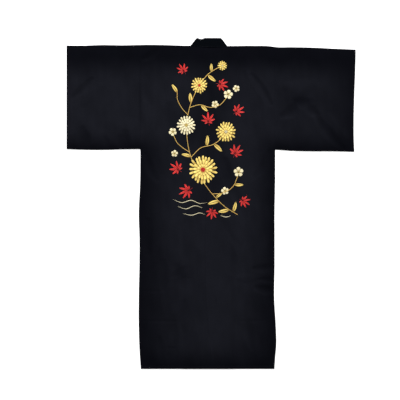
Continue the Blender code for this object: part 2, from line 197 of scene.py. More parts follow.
# Creases in the back layer: troughs take a share of the loft, and ridges rise above it by a height in metres.
# Bow is how far the middle of a crease stands off the straight line between its ends.
Crease = namedtuple("Crease", "x y to_x to_y bow half_width depth")
TROUGHS = (
    Crease(-0.008, 0.700, -0.012, 0.500, 0.004, 0.050, 0.45),
    Crease(-0.611, 0.471, -0.531, 0.551, 0.002, 0.021, 0.62),
    Crease(-0.571, 0.328, -0.565, 0.245, -0.005, 0.032, 0.72),
    Crease(-0.384, 0.310, -0.390, 0.245, 0.004, 0.036, 0.62),
    Crease(-0.470, 0.290, -0.455, 0.246, 0.002, 0.020, 0.40),
    Crease(-0.286, 0.560, -0.272, 0.440, 0.006, 0.030, 0.50),
    Crease(-0.300, 0.640, -0.232, 0.685, 0.003, 0.020, 0.50),
    Crease(0.180, 0.568, 0.264, 0.442, -0.003, 0.022, 0.66),
    Crease(0.318, 0.388, 0.376, 0.446, 0.012, 0.030, 0.80),
    Crease(0.370, 0.452, 0.444, 0.448, 0.006, 0.030, 0.55),
    Crease(0.428, 0.446, 0.472, 0.392, 0.008, 0.028, 0.70),
    Crease(0.466, 0.390, 0.582, 0.248, 0.008, 0.026, 0.62),
    Crease(-0.183, 0.430, -0.178, 0.260, 0.006, 0.042, 0.52),
    Crease(-0.050, 0.200, -0.046, 0.090, -0.005, 0.036, 0.48),
    Crease(0.062, 0.190, 0.122, 0.010, 0.010, 0.032, 0.70),
    Crease(0.255, 0.225, 0.195, 0.120, -0.006, 0.024, 0.45),
    Crease(-0.292, 0.215, -0.240, 0.105, 0.007, 0.024, 0.45),
    Crease(-0.281, -0.080, -0.279, -0.220, 0.004, 0.030, 0.52),
    Crease(-0.150, -0.290, -0.130, -0.320, 0.000, 0.045, 0.58),
    Crease(-0.214, -0.260, -0.212, -0.380, -0.004, 0.028, 0.48),
    Crease(-0.121, -0.440, -0.118, -0.570, 0.005, 0.030, 0.48),
    Crease(0.080, -0.190, 0.086, -0.300, -0.004, 0.030, 0.48),
    Crease(0.190, -0.290, 0.280, -0.278, 0.004, 0.022, 0.52),
    Crease(0.215, -0.338, 0.282, -0.346, -0.003, 0.016, 0.42),
    Crease(0.200, -0.375, 0.280, -0.385, 0.004, 0.024, 0.58),
    Crease(0.170, -0.520, 0.182, -0.640, 0.006, 0.024, 0.35),
    Crease(-0.230, -0.600, -0.216, -0.700, -0.004, 0.022, 0.38),
    Crease(-0.305, -0.521, -0.110, -0.523, 0.000, 0.008, 0.13),
    Crease(0.125, -0.522, 0.245, -0.520, 0.000, 0.008, 0.13),
    Crease(-0.225, -0.640, -0.155, -0.642, 0.000, 0.008, 0.13),
    Crease(-0.165, -0.330, -0.085, -0.331, 0.000, 0.008, 0.14),
    Crease(-0.300, -0.388, -0.215, -0.390, 0.000, 0.008, 0.12),
)
RIDGES = (
    Crease(0.050, -0.010, 0.128, -0.165, 0.006, 0.030, 0.0016),
    Crease(-0.255, 0.330, -0.225, 0.150, -0.008, 0.030, 0.0012),
    Crease(0.335, 0.520, 0.455, 0.530, 0.012, 0.040, 0.0018),
    Crease(0.392, 0.420, 0.396, 0.335, 0.003, 0.016, 0.0008),
    Crease(-0.600, 0.430, -0.500, 0.520, 0.006, 0.028, 0.0010),
    Crease(-0.480, 0.360, -0.330, 0.345, 0.010, 0.045, 0.0009),
    Crease(0.152, 0.590, 0.226, 0.476, -0.003, 0.022, 0.0010),
    Crease(0.520, 0.390, 0.600, 0.290, 0.006, 0.026, 0.0012),
    Crease(-0.175, -0.300, -0.165, -0.480, 0.006, 0.036, 0.0011),
    Crease(0.035, -0.250, 0.040, -0.620, -0.007, 0.032, 0.0010),
    Crease(0.120, -0.330, 0.205, -0.325, 0.004, 0.022, 0.0010),
    Crease(-0.085, -0.080, -0.100, -0.260, 0.006, 0.034, 0.0009),
    Crease(0.205, 0.060, 0.190, -0.140, 0.006, 0.038, 0.0009),
)

# Creases in the fronts and the undersides of the sleeves, as shares of the room that the back leaves them
UNDER_CREASES = (
    Crease(-0.590, 0.600, -0.480, 0.420, 0.008, 0.030, 0.50),
    Crease(-0.450, 0.330, -0.345, 0.470, -0.008, 0.026, 0.45),
    Crease(-0.360, 0.620, -0.250, 0.540, 0.006, 0.030, 0.45),
    Crease(0.330, 0.610, 0.460, 0.470, 0.010, 0.030, 0.55),
    Crease(0.400, 0.300, 0.520, 0.390, 0.006, 0.026, 0.45),
    Crease(0.540, 0.590, 0.560, 0.420, -0.006, 0.028, 0.40),
    Crease(-0.270, 0.170, -0.180, 0.000, 0.008, 0.028, 0.50),
    Crease(0.235, 0.160, 0.160, -0.030, 0.008, 0.028, 0.50),
    Crease(-0.200, -0.150, -0.120, -0.400, 0.010, 0.034, 0.45),
    Crease(-0.030, -0.260, 0.020, -0.470, -0.008, 0.030, 0.50),
    Crease(-0.240, -0.430, -0.180, -0.640, 0.007, 0.026, 0.40),
    Crease(0.190, -0.200, 0.215, -0.420, 0.008, 0.030, 0.50),
    Crease(0.130, -0.480, 0.175, -0.650, 0.006, 0.026, 0.45),
    Crease(-0.060, 0.420, -0.110, 0.250, 0.006, 0.028, 0.40),
    Crease(0.150, 0.560, 0.190, 0.400, 0.006, 0.028, 0.45),
)

CREASE_ENDS = 0.12  # where in a half turn its swell starts
CREASE_WIDTHS = (0.45, 1.15)  # of its half width, at an end and in the middle
CREASE_FADE = 0.35  # of its depth, at an end
CREASES_SHARE = 0.85  # of the shallower one that two creases have in common where they cross
MOST_CREASED = 0.9

# Slow unevenness of cloth that has been worn and washed: waves in many directions, the long ones the highest
WAVES = 14
WAVE_LENGTHS = (0.035, 0.24)
WAVE_STEEPNESS = 0.0030
WAVE_SPREAD = 0.65  # radians from straight across, because the cloth hung before it was laid down
chance = np.random.default_rng(7)
wave_length = np.geomspace(*WAVE_LENGTHS, WAVES)
wave_turn = chance.normal(0, WAVE_SPREAD, WAVES)
wave_start = chance.uniform(0, 2 * math.pi, WAVES)

# How the seams show: a narrow groove at the stitches, and the turned-in cloth raised beside it
GROOVE_DEPTH = 0.0003
GROOVE_WIDTH = 0.0020
TURNING_RISE = 0.0003
TURNING_WIDTH = 0.010
ARMHOLE_FADE = 0.010
LAP_RISE = 0.0004
LAP_WIDTH = 0.008
DITCH_DEPTH = 0.0003
DITCH_WIDTH = 0.0013
TURNED_RISE = 0.00012


def mix(start, end, share):
    """From start at share 0 to end at share 1."""
    return start + (end - start) * share


def smooth(share):
    """A share that leaves 0 and comes to 1 without a corner."""
    share = np.clip(share, 0, 1)
    return share * share * (3 - 2 * share)


def bell(off, width):
    """1 on a line, and less and less beside it."""
    return np.exp(-((off / width) ** 2))


def curve(share, here, there, leave, arrive):
    """From here to there, leaving and arriving at given slopes."""
    rest = 1 - share
    from_here = rest**2 * ((1 + 2 * share) * here + share * leave)
    return from_here + share**2 * ((1 + 2 * rest) * there - rest * arrive)


def together(*parts):
    """Arrays of x, y and so on as one array of points."""
    return np.stack(np.broadcast_arrays(*parts), -1)


def read(table, place, column):
    """One column of a table at places along its first column, as a smooth curve through the rows."""
    keys = np.array([row[0] for row in table])
    values = np.array([getattr(row, column) for row in table])
    slopes = np.gradient(values, keys)
    place = np.clip(place, keys[0], keys[-1])
    row = np.clip(np.searchsorted(keys, place) - 1, 0, len(keys) - 2)
    step = keys[row + 1] - keys[row]
    share = (place - keys[row]) / step
    return curve(share, values[row], values[row + 1], step * slopes[row], step * slopes[row + 1])


def ease(distance, roll):
    """0 at an edge and 1 from one roll inside it on, steep at the edge and level at the end."""
    return 1 - (1 - np.clip(distance / roll, 0, 1)) ** RISE_POWER


def climb(inside):
    """1 over a layer beneath and 0 from one ramp outside it on."""
    return smooth(1 + inside / RAMP)


def band_x(band, edge, y):
    """X of the sewn or the free edge of a front stretch of the collar, or straight down from its end."""
    end, shoulder = band
    low, high = getattr(end, edge + "_y"), getattr(shoulder, edge + "_y")
    share = np.clip((y - low) / (high - low), 0, 1)
    return mix(getattr(end, edge + "_x"), getattr(shoulder, edge + "_x"), share)


def over_band(band, x, y):
    """How far a place lies over a front stretch of the collar, from 0 to 1."""
    middle = (band_x(band, "sewn", y) + band_x(band, "free", y)) / 2
    return climb(COLLAR_WIDTH / 2 - abs(x - middle)) * climb(y - COLLAR_END_Y)


def over_left(x, y):
    """How far a place lies over the left front, its overlap panel and its collar."""
    return climb(band_x(LEFT_BAND, "free", y) - x)


def over_both(x, y):
    """How far a place lies over the left and the right front together."""
    return over_left(x, y) * climb(x - band_x(RIGHT_BAND, "free", y))


def within(x, y, climbing, edges, on_sleeves=1):
    """0 along the robe's outline and 1 well inside it, with each edge's own way of climbing."""
    shoulder = climbing(read(SLEEVES, x, "top") - y, edges.shoulder)
    sleeves = on_sleeves * climbing(x - read(CUFFS, y, "left"), edges.left_cuff)
    sleeves = sleeves * climbing(read(CUFFS, y, "right") - x, edges.right_cuff)
    sleeves = sleeves * climbing(y - read(SLEEVES, x, "bottom"), edges.underarm)
    body = climbing(x - read(BODY, y, "left"), edges.left_side)
    body = body * climbing(read(BODY, y, "right") - x, edges.right_side)
    body = body * climbing(y - HEM_Y, edges.hem)
    return shoulder * (1 - (1 - sleeves) * (1 - body))


def creased(creases, x, y):
    """The depth of the deepest crease at a place. A crease narrows and fades towards its ends."""
    deepest = np.zeros(np.broadcast(x, y).shape)
    for crease in creases:
        run_x, run_y = crease.to_x - crease.x, crease.to_y - crease.y
        length = math.hypot(run_x, run_y)
        along = ((x - crease.x) * run_x + (y - crease.y) * run_y) / length**2
        off = ((x - crease.x) * run_y - (y - crease.y) * run_x) / length
        inside = np.clip(along, 0, 1)
        off = off - crease.bow * 4 * inside * (1 - inside)
        beyond = (along - inside) * length
        swell = np.sin(math.pi * mix(CREASE_ENDS, 1 - CREASE_ENDS, inside))
        half_width = crease.half_width * mix(*CREASE_WIDTHS, swell)
        hump = np.clip(1 - (off**2 + beyond**2) / half_width**2, 0, 1) ** 2
        depth = crease.depth * mix(CREASE_FADE, 1, swell) * hump
        deepest = deepest + depth - np.minimum(deepest, depth) * CREASES_SHARE
    return np.minimum(deepest, MOST_CREASED)


def waves(x, y):
    """Height of all the slow waves together."""
    height = np.zeros(np.broadcast(x, y).shape)
    for length, turn, start in zip(wave_length, wave_turn, wave_start):
        along = x * math.cos(turn) + y * math.sin(turn)
        height = height + WAVE_STEEPNESS * length * np.sin(2 * math.pi * along / length + start)
    return height


def layers_beneath(x, y):
    """The height of the fronts and their collar under the back, and how much of it is doubled cloth."""
    both = over_both(x, y)
    bands = over_band(LEFT_BAND, x, y) + over_band(RIGHT_BAND, x, y)
    height = CLOTH + (CLOTH + LAYER_GAP) * both + (COLLAR_CLOTH - CLOTH) * bands
    return height, np.clip(np.maximum(both, bands), 0, 1)


def unevenness(x, y):
    """How far the back would stand off the layers beneath it if it had no edges to round down to."""
    height, _ = layers_beneath(x, y)
    loft = LOFT - LOFT_LOST * (height - CLOTH)
    shape = loft * (1 - creased(TROUGHS, x, y)) + creased(RIDGES, x, y) + waves(x, y)
    return np.maximum(shape, 0)


def rise(x, y):
    """How far the back layer stands off the layers beneath it."""
    return within(x, y, ease, ROLLS) * unevenness(x, y)


def groove(off):
    """Depth of the narrow groove that a seam's stitches draw, at a distance from them."""
    return GROOVE_DEPTH * bell(off, GROOVE_WIDTH)


def seam_relief(x, y):
    """Height that the armhole seams and the centre back seam add to the back's face."""
    left, right = read(BODY, y, "left"), read(BODY, y, "right")
    off = np.minimum(abs(x - left), abs(right - x))
    turning = TURNING_RISE * np.clip(1 - abs(off - TURNING_WIDTH / 2) / (TURNING_WIDTH / 2), 0, 1) ** 0.5
    above_armhole = np.clip((y - ARMHOLE_Y) / ARMHOLE_FADE, 0, 1)
    relief = above_armhole * (turning * ((x > left) & (x < right)) - groove(off))
    off = x - read(BODY, y, "centre")
    return relief + np.where(off < 0, LAP_RISE * bell(off, LAP_WIDTH), -groove(off))


def hem_relief(off):
    """Height that a turned and stitched edge adds at a distance from the edge: a ditch at the stitches."""
    turned = TURNED_RISE * np.clip((HEM_TURN - off) / (2 * DITCH_WIDTH), 0, 1)
    return turned - DITCH_DEPTH * bell(off - HEM_TURN, DITCH_WIDTH)


def edge_drop(off, radius):
    """How far a rounded edge has fallen at a distance inside it."""
    inside = np.clip(off, 0, radius)
    return radius - np.sqrt(np.maximum(radius**2 - (radius - inside) ** 2, 0))


def folded_edge(off):
    """The same for the edge of a turned hem."""
    return edge_drop(off, HEM_CLOTH / 2)


def back_face(x, y):
    """The upper face of the back layer."""
    height, doubled = layers_beneath(x, y)
    resting = height + mix(SEAM, LAYER_GAP, doubled) + CLOTH
    return resting + rise(x, y) + seam_relief(x, y) + hem_relief(y - HEM_Y)


def front_lift(x, y):
    """How far the creases lift the fronts off the table."""
    return creased(UNDER_CREASES, x, y) * rise(x, y)


def right_front_face(x, y):
    """The underside of the right front, which lies on the table or on the left front."""
    on_left = (CLOTH + LAYER_GAP) * over_left(x, y)
    return on_left + (COLLAR_CLOTH - CLOTH) * over_band(LEFT_BAND, x, y) + front_lift(x, y)


def places(start, end, coarse, marks=()):
    """Places from start to end, coarse apart, and closer together near each mark."""
    found = [start]
    while found[-1] < end:
        nearest = min([abs(found[-1] - mark) for mark in marks], default=coarse / GROWTH)
        found.append(found[-1] + min(coarse, FINEST + nearest * GROWTH))
    found = np.array(found)
    return start + (found - start) * (end - start) / (found[-1] - start)


# How far in from each edge the cloth is painted in shade, where it rounds down to the table: where the change
# starts, and how wide it is
EDGE_SHADE_PAINTED = Edges(
    shoulder=(0.042, 0.130), left_cuff=(-0.05, 0.07), right_cuff=(-0.05, 0.22), underarm=(-0.006, 0.10),
    left_side=(-0.040, 0.24), right_side=(-0.030, 0.17), hem=(-0.005, 0.12),
)
SIDE_SHADE_WIDENS = 0.04  # from the waist to the hem
# painted shade in the troughs of the creases
CREASE_SHADE_PAINTED = 0.30
SLOPE_SHADE_PAINTED = 2.2  # painted light and shade on the cloth's slopes: darker where they face down the robe, away from the lamp beyond the collar, lighter where they face up it
SLOPE_SHADE_AT_EDGES = 0.3  # of that, where the edges are painted in shade
SLOPE_SHADE_SLANT = 0.6  # radians
SLOPE_STEP = 0.005
MOST_PAINTED_LIGHT = 1.30
TONE_AT_HEM = 0.88  # the share of its painted light that the cloth keeps at the hem, so that it grows darker towards the bottom
# how light each sleeve is painted: the right one darker
LEFT_SLEEVE_TONE = 0.93
RIGHT_SLEEVE_TONE = 0.82
LEFT_BACK_TONE = 0.88  # the left back is painted a little darker, more so towards the hem
LEFT_OF_SEAM_FADE = (-0.16, -0.42)
CUFF_STITCH_SHADE = 0.80  # painted shade along the ditch at the stitches of each cuff's turning
STITCHES_IN = 0.0145
CUFF_STITCH_SHADE_WIDTH = 0.0035

# Broad soft patches painted lighter or darker, partly as painted light and shade over the folds
Patch = namedtuple("Patch", "x y half_width half_height change")
PAINTED_TONE_PATCHES = (
    Patch(0.004, -0.520, 0.038, 0.330, 0.20),
    Patch(-0.150, -0.380, 0.040, 0.250, -0.08),
    Patch(0.095, -0.150, 0.045, 0.180, 0.06),
    Patch(0.050, -0.300, 0.022, 0.160, -0.05),
    Patch(0.405, 0.450, 0.060, 0.040, -0.38),
    Patch(0.396, 0.465, 0.040, 0.020, -0.40),
    Patch(0.330, 0.400, 0.110, 0.090, -0.10),
    Patch(0.450, 0.290, 0.050, 0.050, -0.16),
    Patch(0.315, 0.600, 0.090, 0.050, 0.34),
    Patch(0.505, 0.300, 0.045, 0.050, -0.18),
    Patch(-0.390, 0.420, 0.150, 0.080, 0.04),
    Patch(-0.585, 0.300, 0.030, 0.045, -0.28),
    Patch(-0.450, 0.262, 0.150, 0.020, 0.30),
    Patch(-0.500, 0.575, 0.050, 0.045, -0.14),
    Patch(-0.314, 0.465, 0.007, 0.140, -0.38),
    Patch(-0.295, 0.545, 0.035, 0.060, -0.12),
    Patch(0.015, 0.490, 0.110, 0.100, -0.52),
    Patch(-0.045, 0.330, 0.090, 0.120, -0.52),
    Patch(0.000, 0.110, 0.070, 0.170, -0.44),
    Patch(-0.140, -0.326, 0.030, 0.030, -0.50),
    Patch(-0.299, -0.645, 0.020, 0.040, 0.30),
    Patch(0.235, -0.500, 0.045, 0.170, -0.30),
    Patch(0.160, -0.645, 0.060, 0.045, -0.40),
    Patch(0.262, -0.600, 0.030, 0.070, -0.32),
    Patch(0.285, -0.440, 0.018, 0.050, -0.26),
    Patch(0.285, -0.120, 0.022, 0.080, -0.45),
    Patch(-0.300, -0.230, 0.020, 0.110, 0.30),
    Patch(0.082, -0.205, 0.028, 0.110, 0.12),
    Patch(-0.183, -0.470, 0.035, 0.110, 0.16),
    Patch(0.042, -0.560, 0.030, 0.110, 0.10),
    Patch(0.235, -0.208, 0.025, 0.050, 0.46),
)


def lit_inside(distance, change):
    """0 where the cloth is painted in shade near an edge, 1 where it is painted fully lit, at a distance
    inside the edge.
    """
    start, width = change
    return smooth((distance - start) / width)


def painted_light_share(x, y):
    """How light the cloth is painted: painted shade along its edges, in its creases and on slopes away from
    the lamp, painted light in the middle of each panel, with broad lighter and darker patches.
    """
    down = np.clip(y / HEM_Y, 0, 1)
    both_sides = (EDGE_SHADE_PAINTED.left_side, EDGE_SHADE_PAINTED.right_side)
    left_side, right_side = ((start, width + SIDE_SHADE_WIDENS * down) for start, width in both_sides)
    edges = EDGE_SHADE_PAINTED._replace(left_side=left_side, right_side=right_side)
    lit = within(x, y, lit_inside, edges, np.where(x < 0, LEFT_SLEEVE_TONE, RIGHT_SLEEVE_TONE))
    lit = lit * mix(1, TONE_AT_HEM, down)
    start, end = LEFT_OF_SEAM_FADE
    left_back = np.clip((y - start) / (end - start), 0, 1) * (x < read(BODY, y, "centre"))
    lit = lit * mix(1, LEFT_BACK_TONE, left_back)
    for cuff_off in (x - read(CUFFS, y, "left"), read(CUFFS, y, "right") - x):
        lit = lit * mix(1, CUFF_STITCH_SHADE, bell(cuff_off - STITCHES_IN, CUFF_STITCH_SHADE_WIDTH))
    for patch in PAINTED_TONE_PATCHES:
        here = bell(x - patch.x, patch.half_width) * bell(y - patch.y, patch.half_height)
        lit = lit * (1 + patch.change * here)
    # Painted light and shade of the cloth's slopes, as if lit from beyond the collar
    step_x, step_y = SLOPE_STEP * math.sin(SLOPE_SHADE_SLANT), SLOPE_STEP * math.cos(SLOPE_SHADE_SLANT)
    slope = (unevenness(x + step_x, y + step_y) - unevenness(x - step_x, y - step_y)) / (2 * SLOPE_STEP)
    slope_shade = SLOPE_SHADE_PAINTED * slope * mix(SLOPE_SHADE_AT_EDGES, 1, lit)
    return np.clip(lit * (1 - CREASE_SHADE_PAINTED * creased(TROUGHS, x, y)) - slope_shade, 0, MOST_PAINTED_LIGHT)


def new_finish(name):
    """A material, its nodes and its shader."""
    made = bpy.data.materials.new(name)
    made.use_nodes = True
    return made, made.node_tree, made.node_tree.nodes["Principled BSDF"]


def feed(tree, node, feeds):
    """Sets sockets of a node to numbers or colours, or links them to what another node gives."""
    for socket, value in feeds.items():
        if isinstance(value, bpy.types.NodeSocket):
            tree.links.new(value, node.inputs[socket])
        else:
            node.inputs[socket].default_value = value


def add_node(tree, kind, feeds=None, **settings):
    """Adds a node, makes its settings, feeds its sockets and hands back what it gives."""
    made = tree.nodes.new(kind)
    for name, value in settings.items():
        setattr(made, name, value)
    feed(tree, made, feeds or {})
    return made.outputs


def scaled_noise(tree, place, grain, detail):
    """Noise whose grains are stretched by different scales across and along the cloth."""
    stretched = add_node(tree, "ShaderNodeMapping", {"Vector": place, "Scale": (*grain, 1)})["Vector"]
    return add_node(tree, "ShaderNodeTexNoise", {"Vector": stretched, "Scale": 1, "Detail": detail})["Fac"]


def reckoned(tree, operation, first, second=0):
    """A sum or the like on numbers or on what other nodes give."""
    return add_node(tree, "ShaderNodeMath", {0: first, 1: second}, operation=operation)["Value"]


def ranged(tree, value, low, high):
    """A value from 0 to 1 brought to run from low to high."""
    return reckoned(tree, "ADD", reckoned(tree, "MULTIPLY", value, high - low), low)


def blended(tree, share, first, second, **settings):
    """One colour over another."""
    return add_node(tree, "ShaderNodeMix", {0: share, 6: first, 7: second}, data_type="RGBA", **settings)[2]


def bumped(tree, height, strength, distance):
    """The slopes of a fine relief, for the way that light falls on it."""
    feeds = {"Height": height, "Strength": strength, "Distance": distance}
    return add_node(tree, "ShaderNodeBump", feeds)["Normal"]


THREAD_GRAIN = (1400, 22)  # of the noise, across a thread and along it
MOTTLE_GRAIN = (9, 7)
THREAD_SHADES = (0.70, 1.30)
MOTTLE_SHADES = (0.75, 1.25)
CLOTH_ROUGHNESS = (0.74, 0.92)
THREAD_PITCH = 0.0009  # from one thread to the next that lies on the same side
WEAVE_SHARE = 0.25  # of the weave against its uneven threads
WEAVE_STRENGTH = 0.5
WEAVE_HEIGHT = 0.0004
SHEEN_TINT = (0.70, 0.76, 1.0, 1)


def woven_cloth(name, painted_shaded, painted_lit, sheen):
    """Black plain weave with uneven threads, mixed between a painted-shade black and a painted-lit black by
    the painted light at each point.
    """
    made, tree, shader = new_finish(name)
    cloth = add_node(tree, "ShaderNodeUVMap", uv_map="cloth")["UV"]
    painted_light = add_node(tree, "ShaderNodeAttribute", attribute_name="painted_lit")["Fac"]
    warp, weft = scaled_noise(tree, cloth, THREAD_GRAIN, 2), scaled_noise(tree, cloth, THREAD_GRAIN[::-1], 2)
    mottle = scaled_noise(tree, cloth, MOTTLE_GRAIN, 4)
    threads = reckoned(tree, "MULTIPLY", reckoned(tree, "ADD", warp, weft), 0.5)
    shades = (ranged(tree, threads, *THREAD_SHADES), ranged(tree, mottle, *MOTTLE_SHADES))
    # the painted shade and painted light of the cloth
    painted_tone = blended(tree, painted_light, (*painted_shaded, 1), (*painted_lit, 1))
    place = add_node(tree, "ShaderNodeSeparateXYZ", {"Vector": cloth})
    turns = [reckoned(tree, "MULTIPLY", place[axis], 2 * math.pi / THREAD_PITCH) for axis in "XY"]
    weave = reckoned(tree, "MULTIPLY", *[reckoned(tree, "SINE", turn) for turn in turns])
    relief = reckoned(tree, "ADD", reckoned(tree, "MULTIPLY", weave, WEAVE_SHARE), threads)
    feed(tree, shader, {
        "Base Color": blended(tree, 1, painted_tone, reckoned(tree, "MULTIPLY", *shades), blend_type="MULTIPLY"),
        "Roughness": ranged(tree, mottle, *CLOTH_ROUGHNESS),
        "Normal": bumped(tree, relief, WEAVE_STRENGTH, WEAVE_HEIGHT),
        "Specular IOR Level": 0.01,
        "Sheen Weight": sheen,
        "Sheen Roughness": 0.45,
        "Sheen Tint": SHEEN_TINT,
    })
    return made


# Its two blacks are painted shade, for edges, creases and slopes away from the lamp, and painted light, for
# the middles of the panels.
robe_cloth = woven_cloth("robe_cloth", (0.00166, 0.00180, 0.0030), (0.00585, 0.0062, 0.0088), 0.008)


def shaped(name, points, faces, finish):
    """An object of one mesh in one finish."""
    mesh = bpy.data.meshes.new(name)
    mesh.from_pydata(points.tolist(), [], faces)
    mesh.materials.append(finish)
    mesh.shade_smooth()
    piece = bpy.data.objects.new(name, mesh)
    bpy.context.scene.collection.objects.link(piece)
    return piece


def marked(mesh, spread_name, spread, tone_name, tone):
    """Gives each corner of a mesh its place on the cloth or thread laid flat, and each point its tone."""
    layer = mesh.uv_layers.new(name=spread_name)
    layer.uv.foreach_set("vector", spread.astype(np.float32).ravel())
    mesh.attributes.new(tone_name, "FLOAT", "POINT").data.foreach_set("value", tone.astype(np.float32))


def cloth_piece(name, points, spread, finish, turned=False, mirrored=False):
    """A piece of cloth: its outer face through a grid of points, thickened inwards, more where it is turned.

    Places that the piece doesn't have are not numbers in the grid. Spread is the same grid laid flat.
    """
    turned = np.broadcast_to(turned, points.shape[:2])
    if mirrored:
        points, spread, turned = points[::-1], spread[::-1], turned[::-1]
    there = np.isfinite(points[..., 0])
    index = np.cumsum(there.ravel()).reshape(there.shape) - 1
    square = there[:-1, :-1] & there[1:, :-1] & there[1:, 1:] & there[:-1, 1:]

    def corners_of(grid):
        corners = (grid[:-1, :-1], grid[1:, :-1], grid[1:, 1:], grid[:-1, 1:])
        return np.stack([corner[square] for corner in corners], 1)

    points = points[there]
    piece = shaped(name, points, corners_of(index).tolist(), finish)
    # Each point carries its painted light and shade, which the finish reads to mix its two blacks.
    marked(piece.data, "cloth", corners_of(spread), "painted_lit", painted_light_share(points[:, 0], points[:, 1]))
    thickness = piece.modifiers.new("cloth", "SOLIDIFY")
    thickness.thickness = THREAD_CLOTH
    thickness.offset = -1
    if turned.any():
        group = piece.vertex_groups.new(name="turned")
        group.add(np.flatnonzero(turned[there]).tolist(), 1.0, "REPLACE")
        thickness.vertex_group = "turned"
        thickness.thickness = HEM_CLOTH
        thickness.thickness_vertex_group = THREAD_CLOTH / HEM_CLOTH
    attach(piece, "root")
    return piece


# Sewing stitches, in black thread a little glossier than the cloth, sunk into it
STITCH = 0.0027
STITCH_GAP = 0.0007
STITCH_HALF_WIDTH = 0.00026
STITCH_STANDS = 0.00018
THREAD_TWIST = 900  # of the noise that shades it
THREAD_DEEP = (0.0036, 0.0039, 0.0054, 1)
THREAD_BRIGHT = (0.0084, 0.0091, 0.0126, 1)

black_thread, tree, shader = new_finish("black_sewing_thread")
place = add_node(tree, "ShaderNodeTexCoord")["Object"]
spun = add_node(tree, "ShaderNodeTexNoise", {"Vector": place, "Scale": THREAD_TWIST})["Fac"]
lay = blended(tree, spun, THREAD_DEEP, THREAD_BRIGHT)
feed(tree, shader, {"Base Color": lay, "Roughness": 0.5, "Specular IOR Level": 0.12})


def unit(ways):
    """The same directions, each of length 1."""
    return ways / np.linalg.norm(ways, axis=-1, keepdims=True)


def distance_along(route):
    """How far along a route each of its points lies."""
    return np.concatenate([[0], np.cumsum(np.linalg.norm(np.diff(route, axis=0), axis=1))])


def points_at(wanted, gone, route):
    """The points of a route at wanted places between the places that its own points have."""
    return together(*[np.interp(wanted, gone, column) for column in route.T])


def even_steps(route, step):
    """Points at even steps along a route, as an array of rows of x and y."""
    route = np.asarray(route, float)
    gone = distance_along(route)
    count = max(int(round(gone[-1] / step)), 1)
    return points_at(np.linspace(0, gone[-1], count + 1), gone, route)


# A stitch as a spindle: the places of its points along, across and above the cloth, and its faces
SPINDLE = ((0, 0, 0), (0.25, 1, 0), (0.25, 0, 1), (0.25, -1, 0), (0.25, 0, -1),
           (0.75, 1, 0), (0.75, 0, 1), (0.75, -1, 0), (0.75, 0, -1), (1, 0, 0))
SPINDLE_FACES = (
    (0, 2, 1), (0, 3, 2), (0, 4, 3), (0, 1, 4), (1, 2, 6, 5), (2, 3, 7, 6), (3, 4, 8, 7), (4, 1, 5, 8),
    (5, 6, 9), (6, 7, 9), (7, 8, 9), (8, 5, 9),
)


def stitches(name, routes):
    """Running stitches along routes, each a spindle half sunk in the cloth face that the route comes with."""
    spindles = []
    for route, face in routes:
        marks = even_steps(route, STITCH + STITCH_GAP)
        runs = unit(np.diff(marks, axis=0))
        across = together(-runs[:, 1], runs[:, 0]) * STITCH_HALF_WIDTH
        found = []
        for along, sideways, upwards in SPINDLE:
            middle = marks[:-1] + runs * STITCH * along
            height = face(middle[:, 0], middle[:, 1]) + upwards * STITCH_STANDS
            found.append(np.column_stack([middle + across * sideways, height]))
        spindles.append(np.stack(found, 1))
    points = np.concatenate(spindles)
    first = len(SPINDLE) * np.arange(len(points))[:, None]
    faces = []
    for corners in SPINDLE_FACES:
        faces += (first + np.array(corners)).tolist()
    piece = shaped(name, points.reshape(-1, 3), faces, black_thread)
    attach(piece, "root")
    return piece


Side = namedtuple("Side", "name sign front_edge band front_face")
LEFT = Side("left", -1, LEFT_FRONT_EDGE, LEFT_BAND, front_lift)
RIGHT = Side("right", 1, RIGHT_FRONT_EDGE, RIGHT_BAND, right_front_face)


def neck_seam_y(x):
    """The sewn edge of the collar behind the neck: just below its two folds, and lower in the middle."""
    start, end = LEFT_BAND[1], RIGHT_BAND[1]
    share = np.clip((x - start.sewn_x) / (end.sewn_x - start.sewn_x), 0, 1)
    level = mix(start.sewn_y, end.sewn_y, share) - COLLAR_FOLD_HEIGHT / 2
    return level - BACK_NECK_DIP * np.sin(math.pi * share)


def collar_seam_y(side, x):
    """Where a front's piece ends against the collar, a seam's width short of its sewn edge."""
    end, shoulder = side.band
    share = (x - side.sign * SEAM - end.sewn_x) / (shoulder.sewn_x - end.sewn_x)
    return mix(end.sewn_y, shoulder.sewn_y, share)


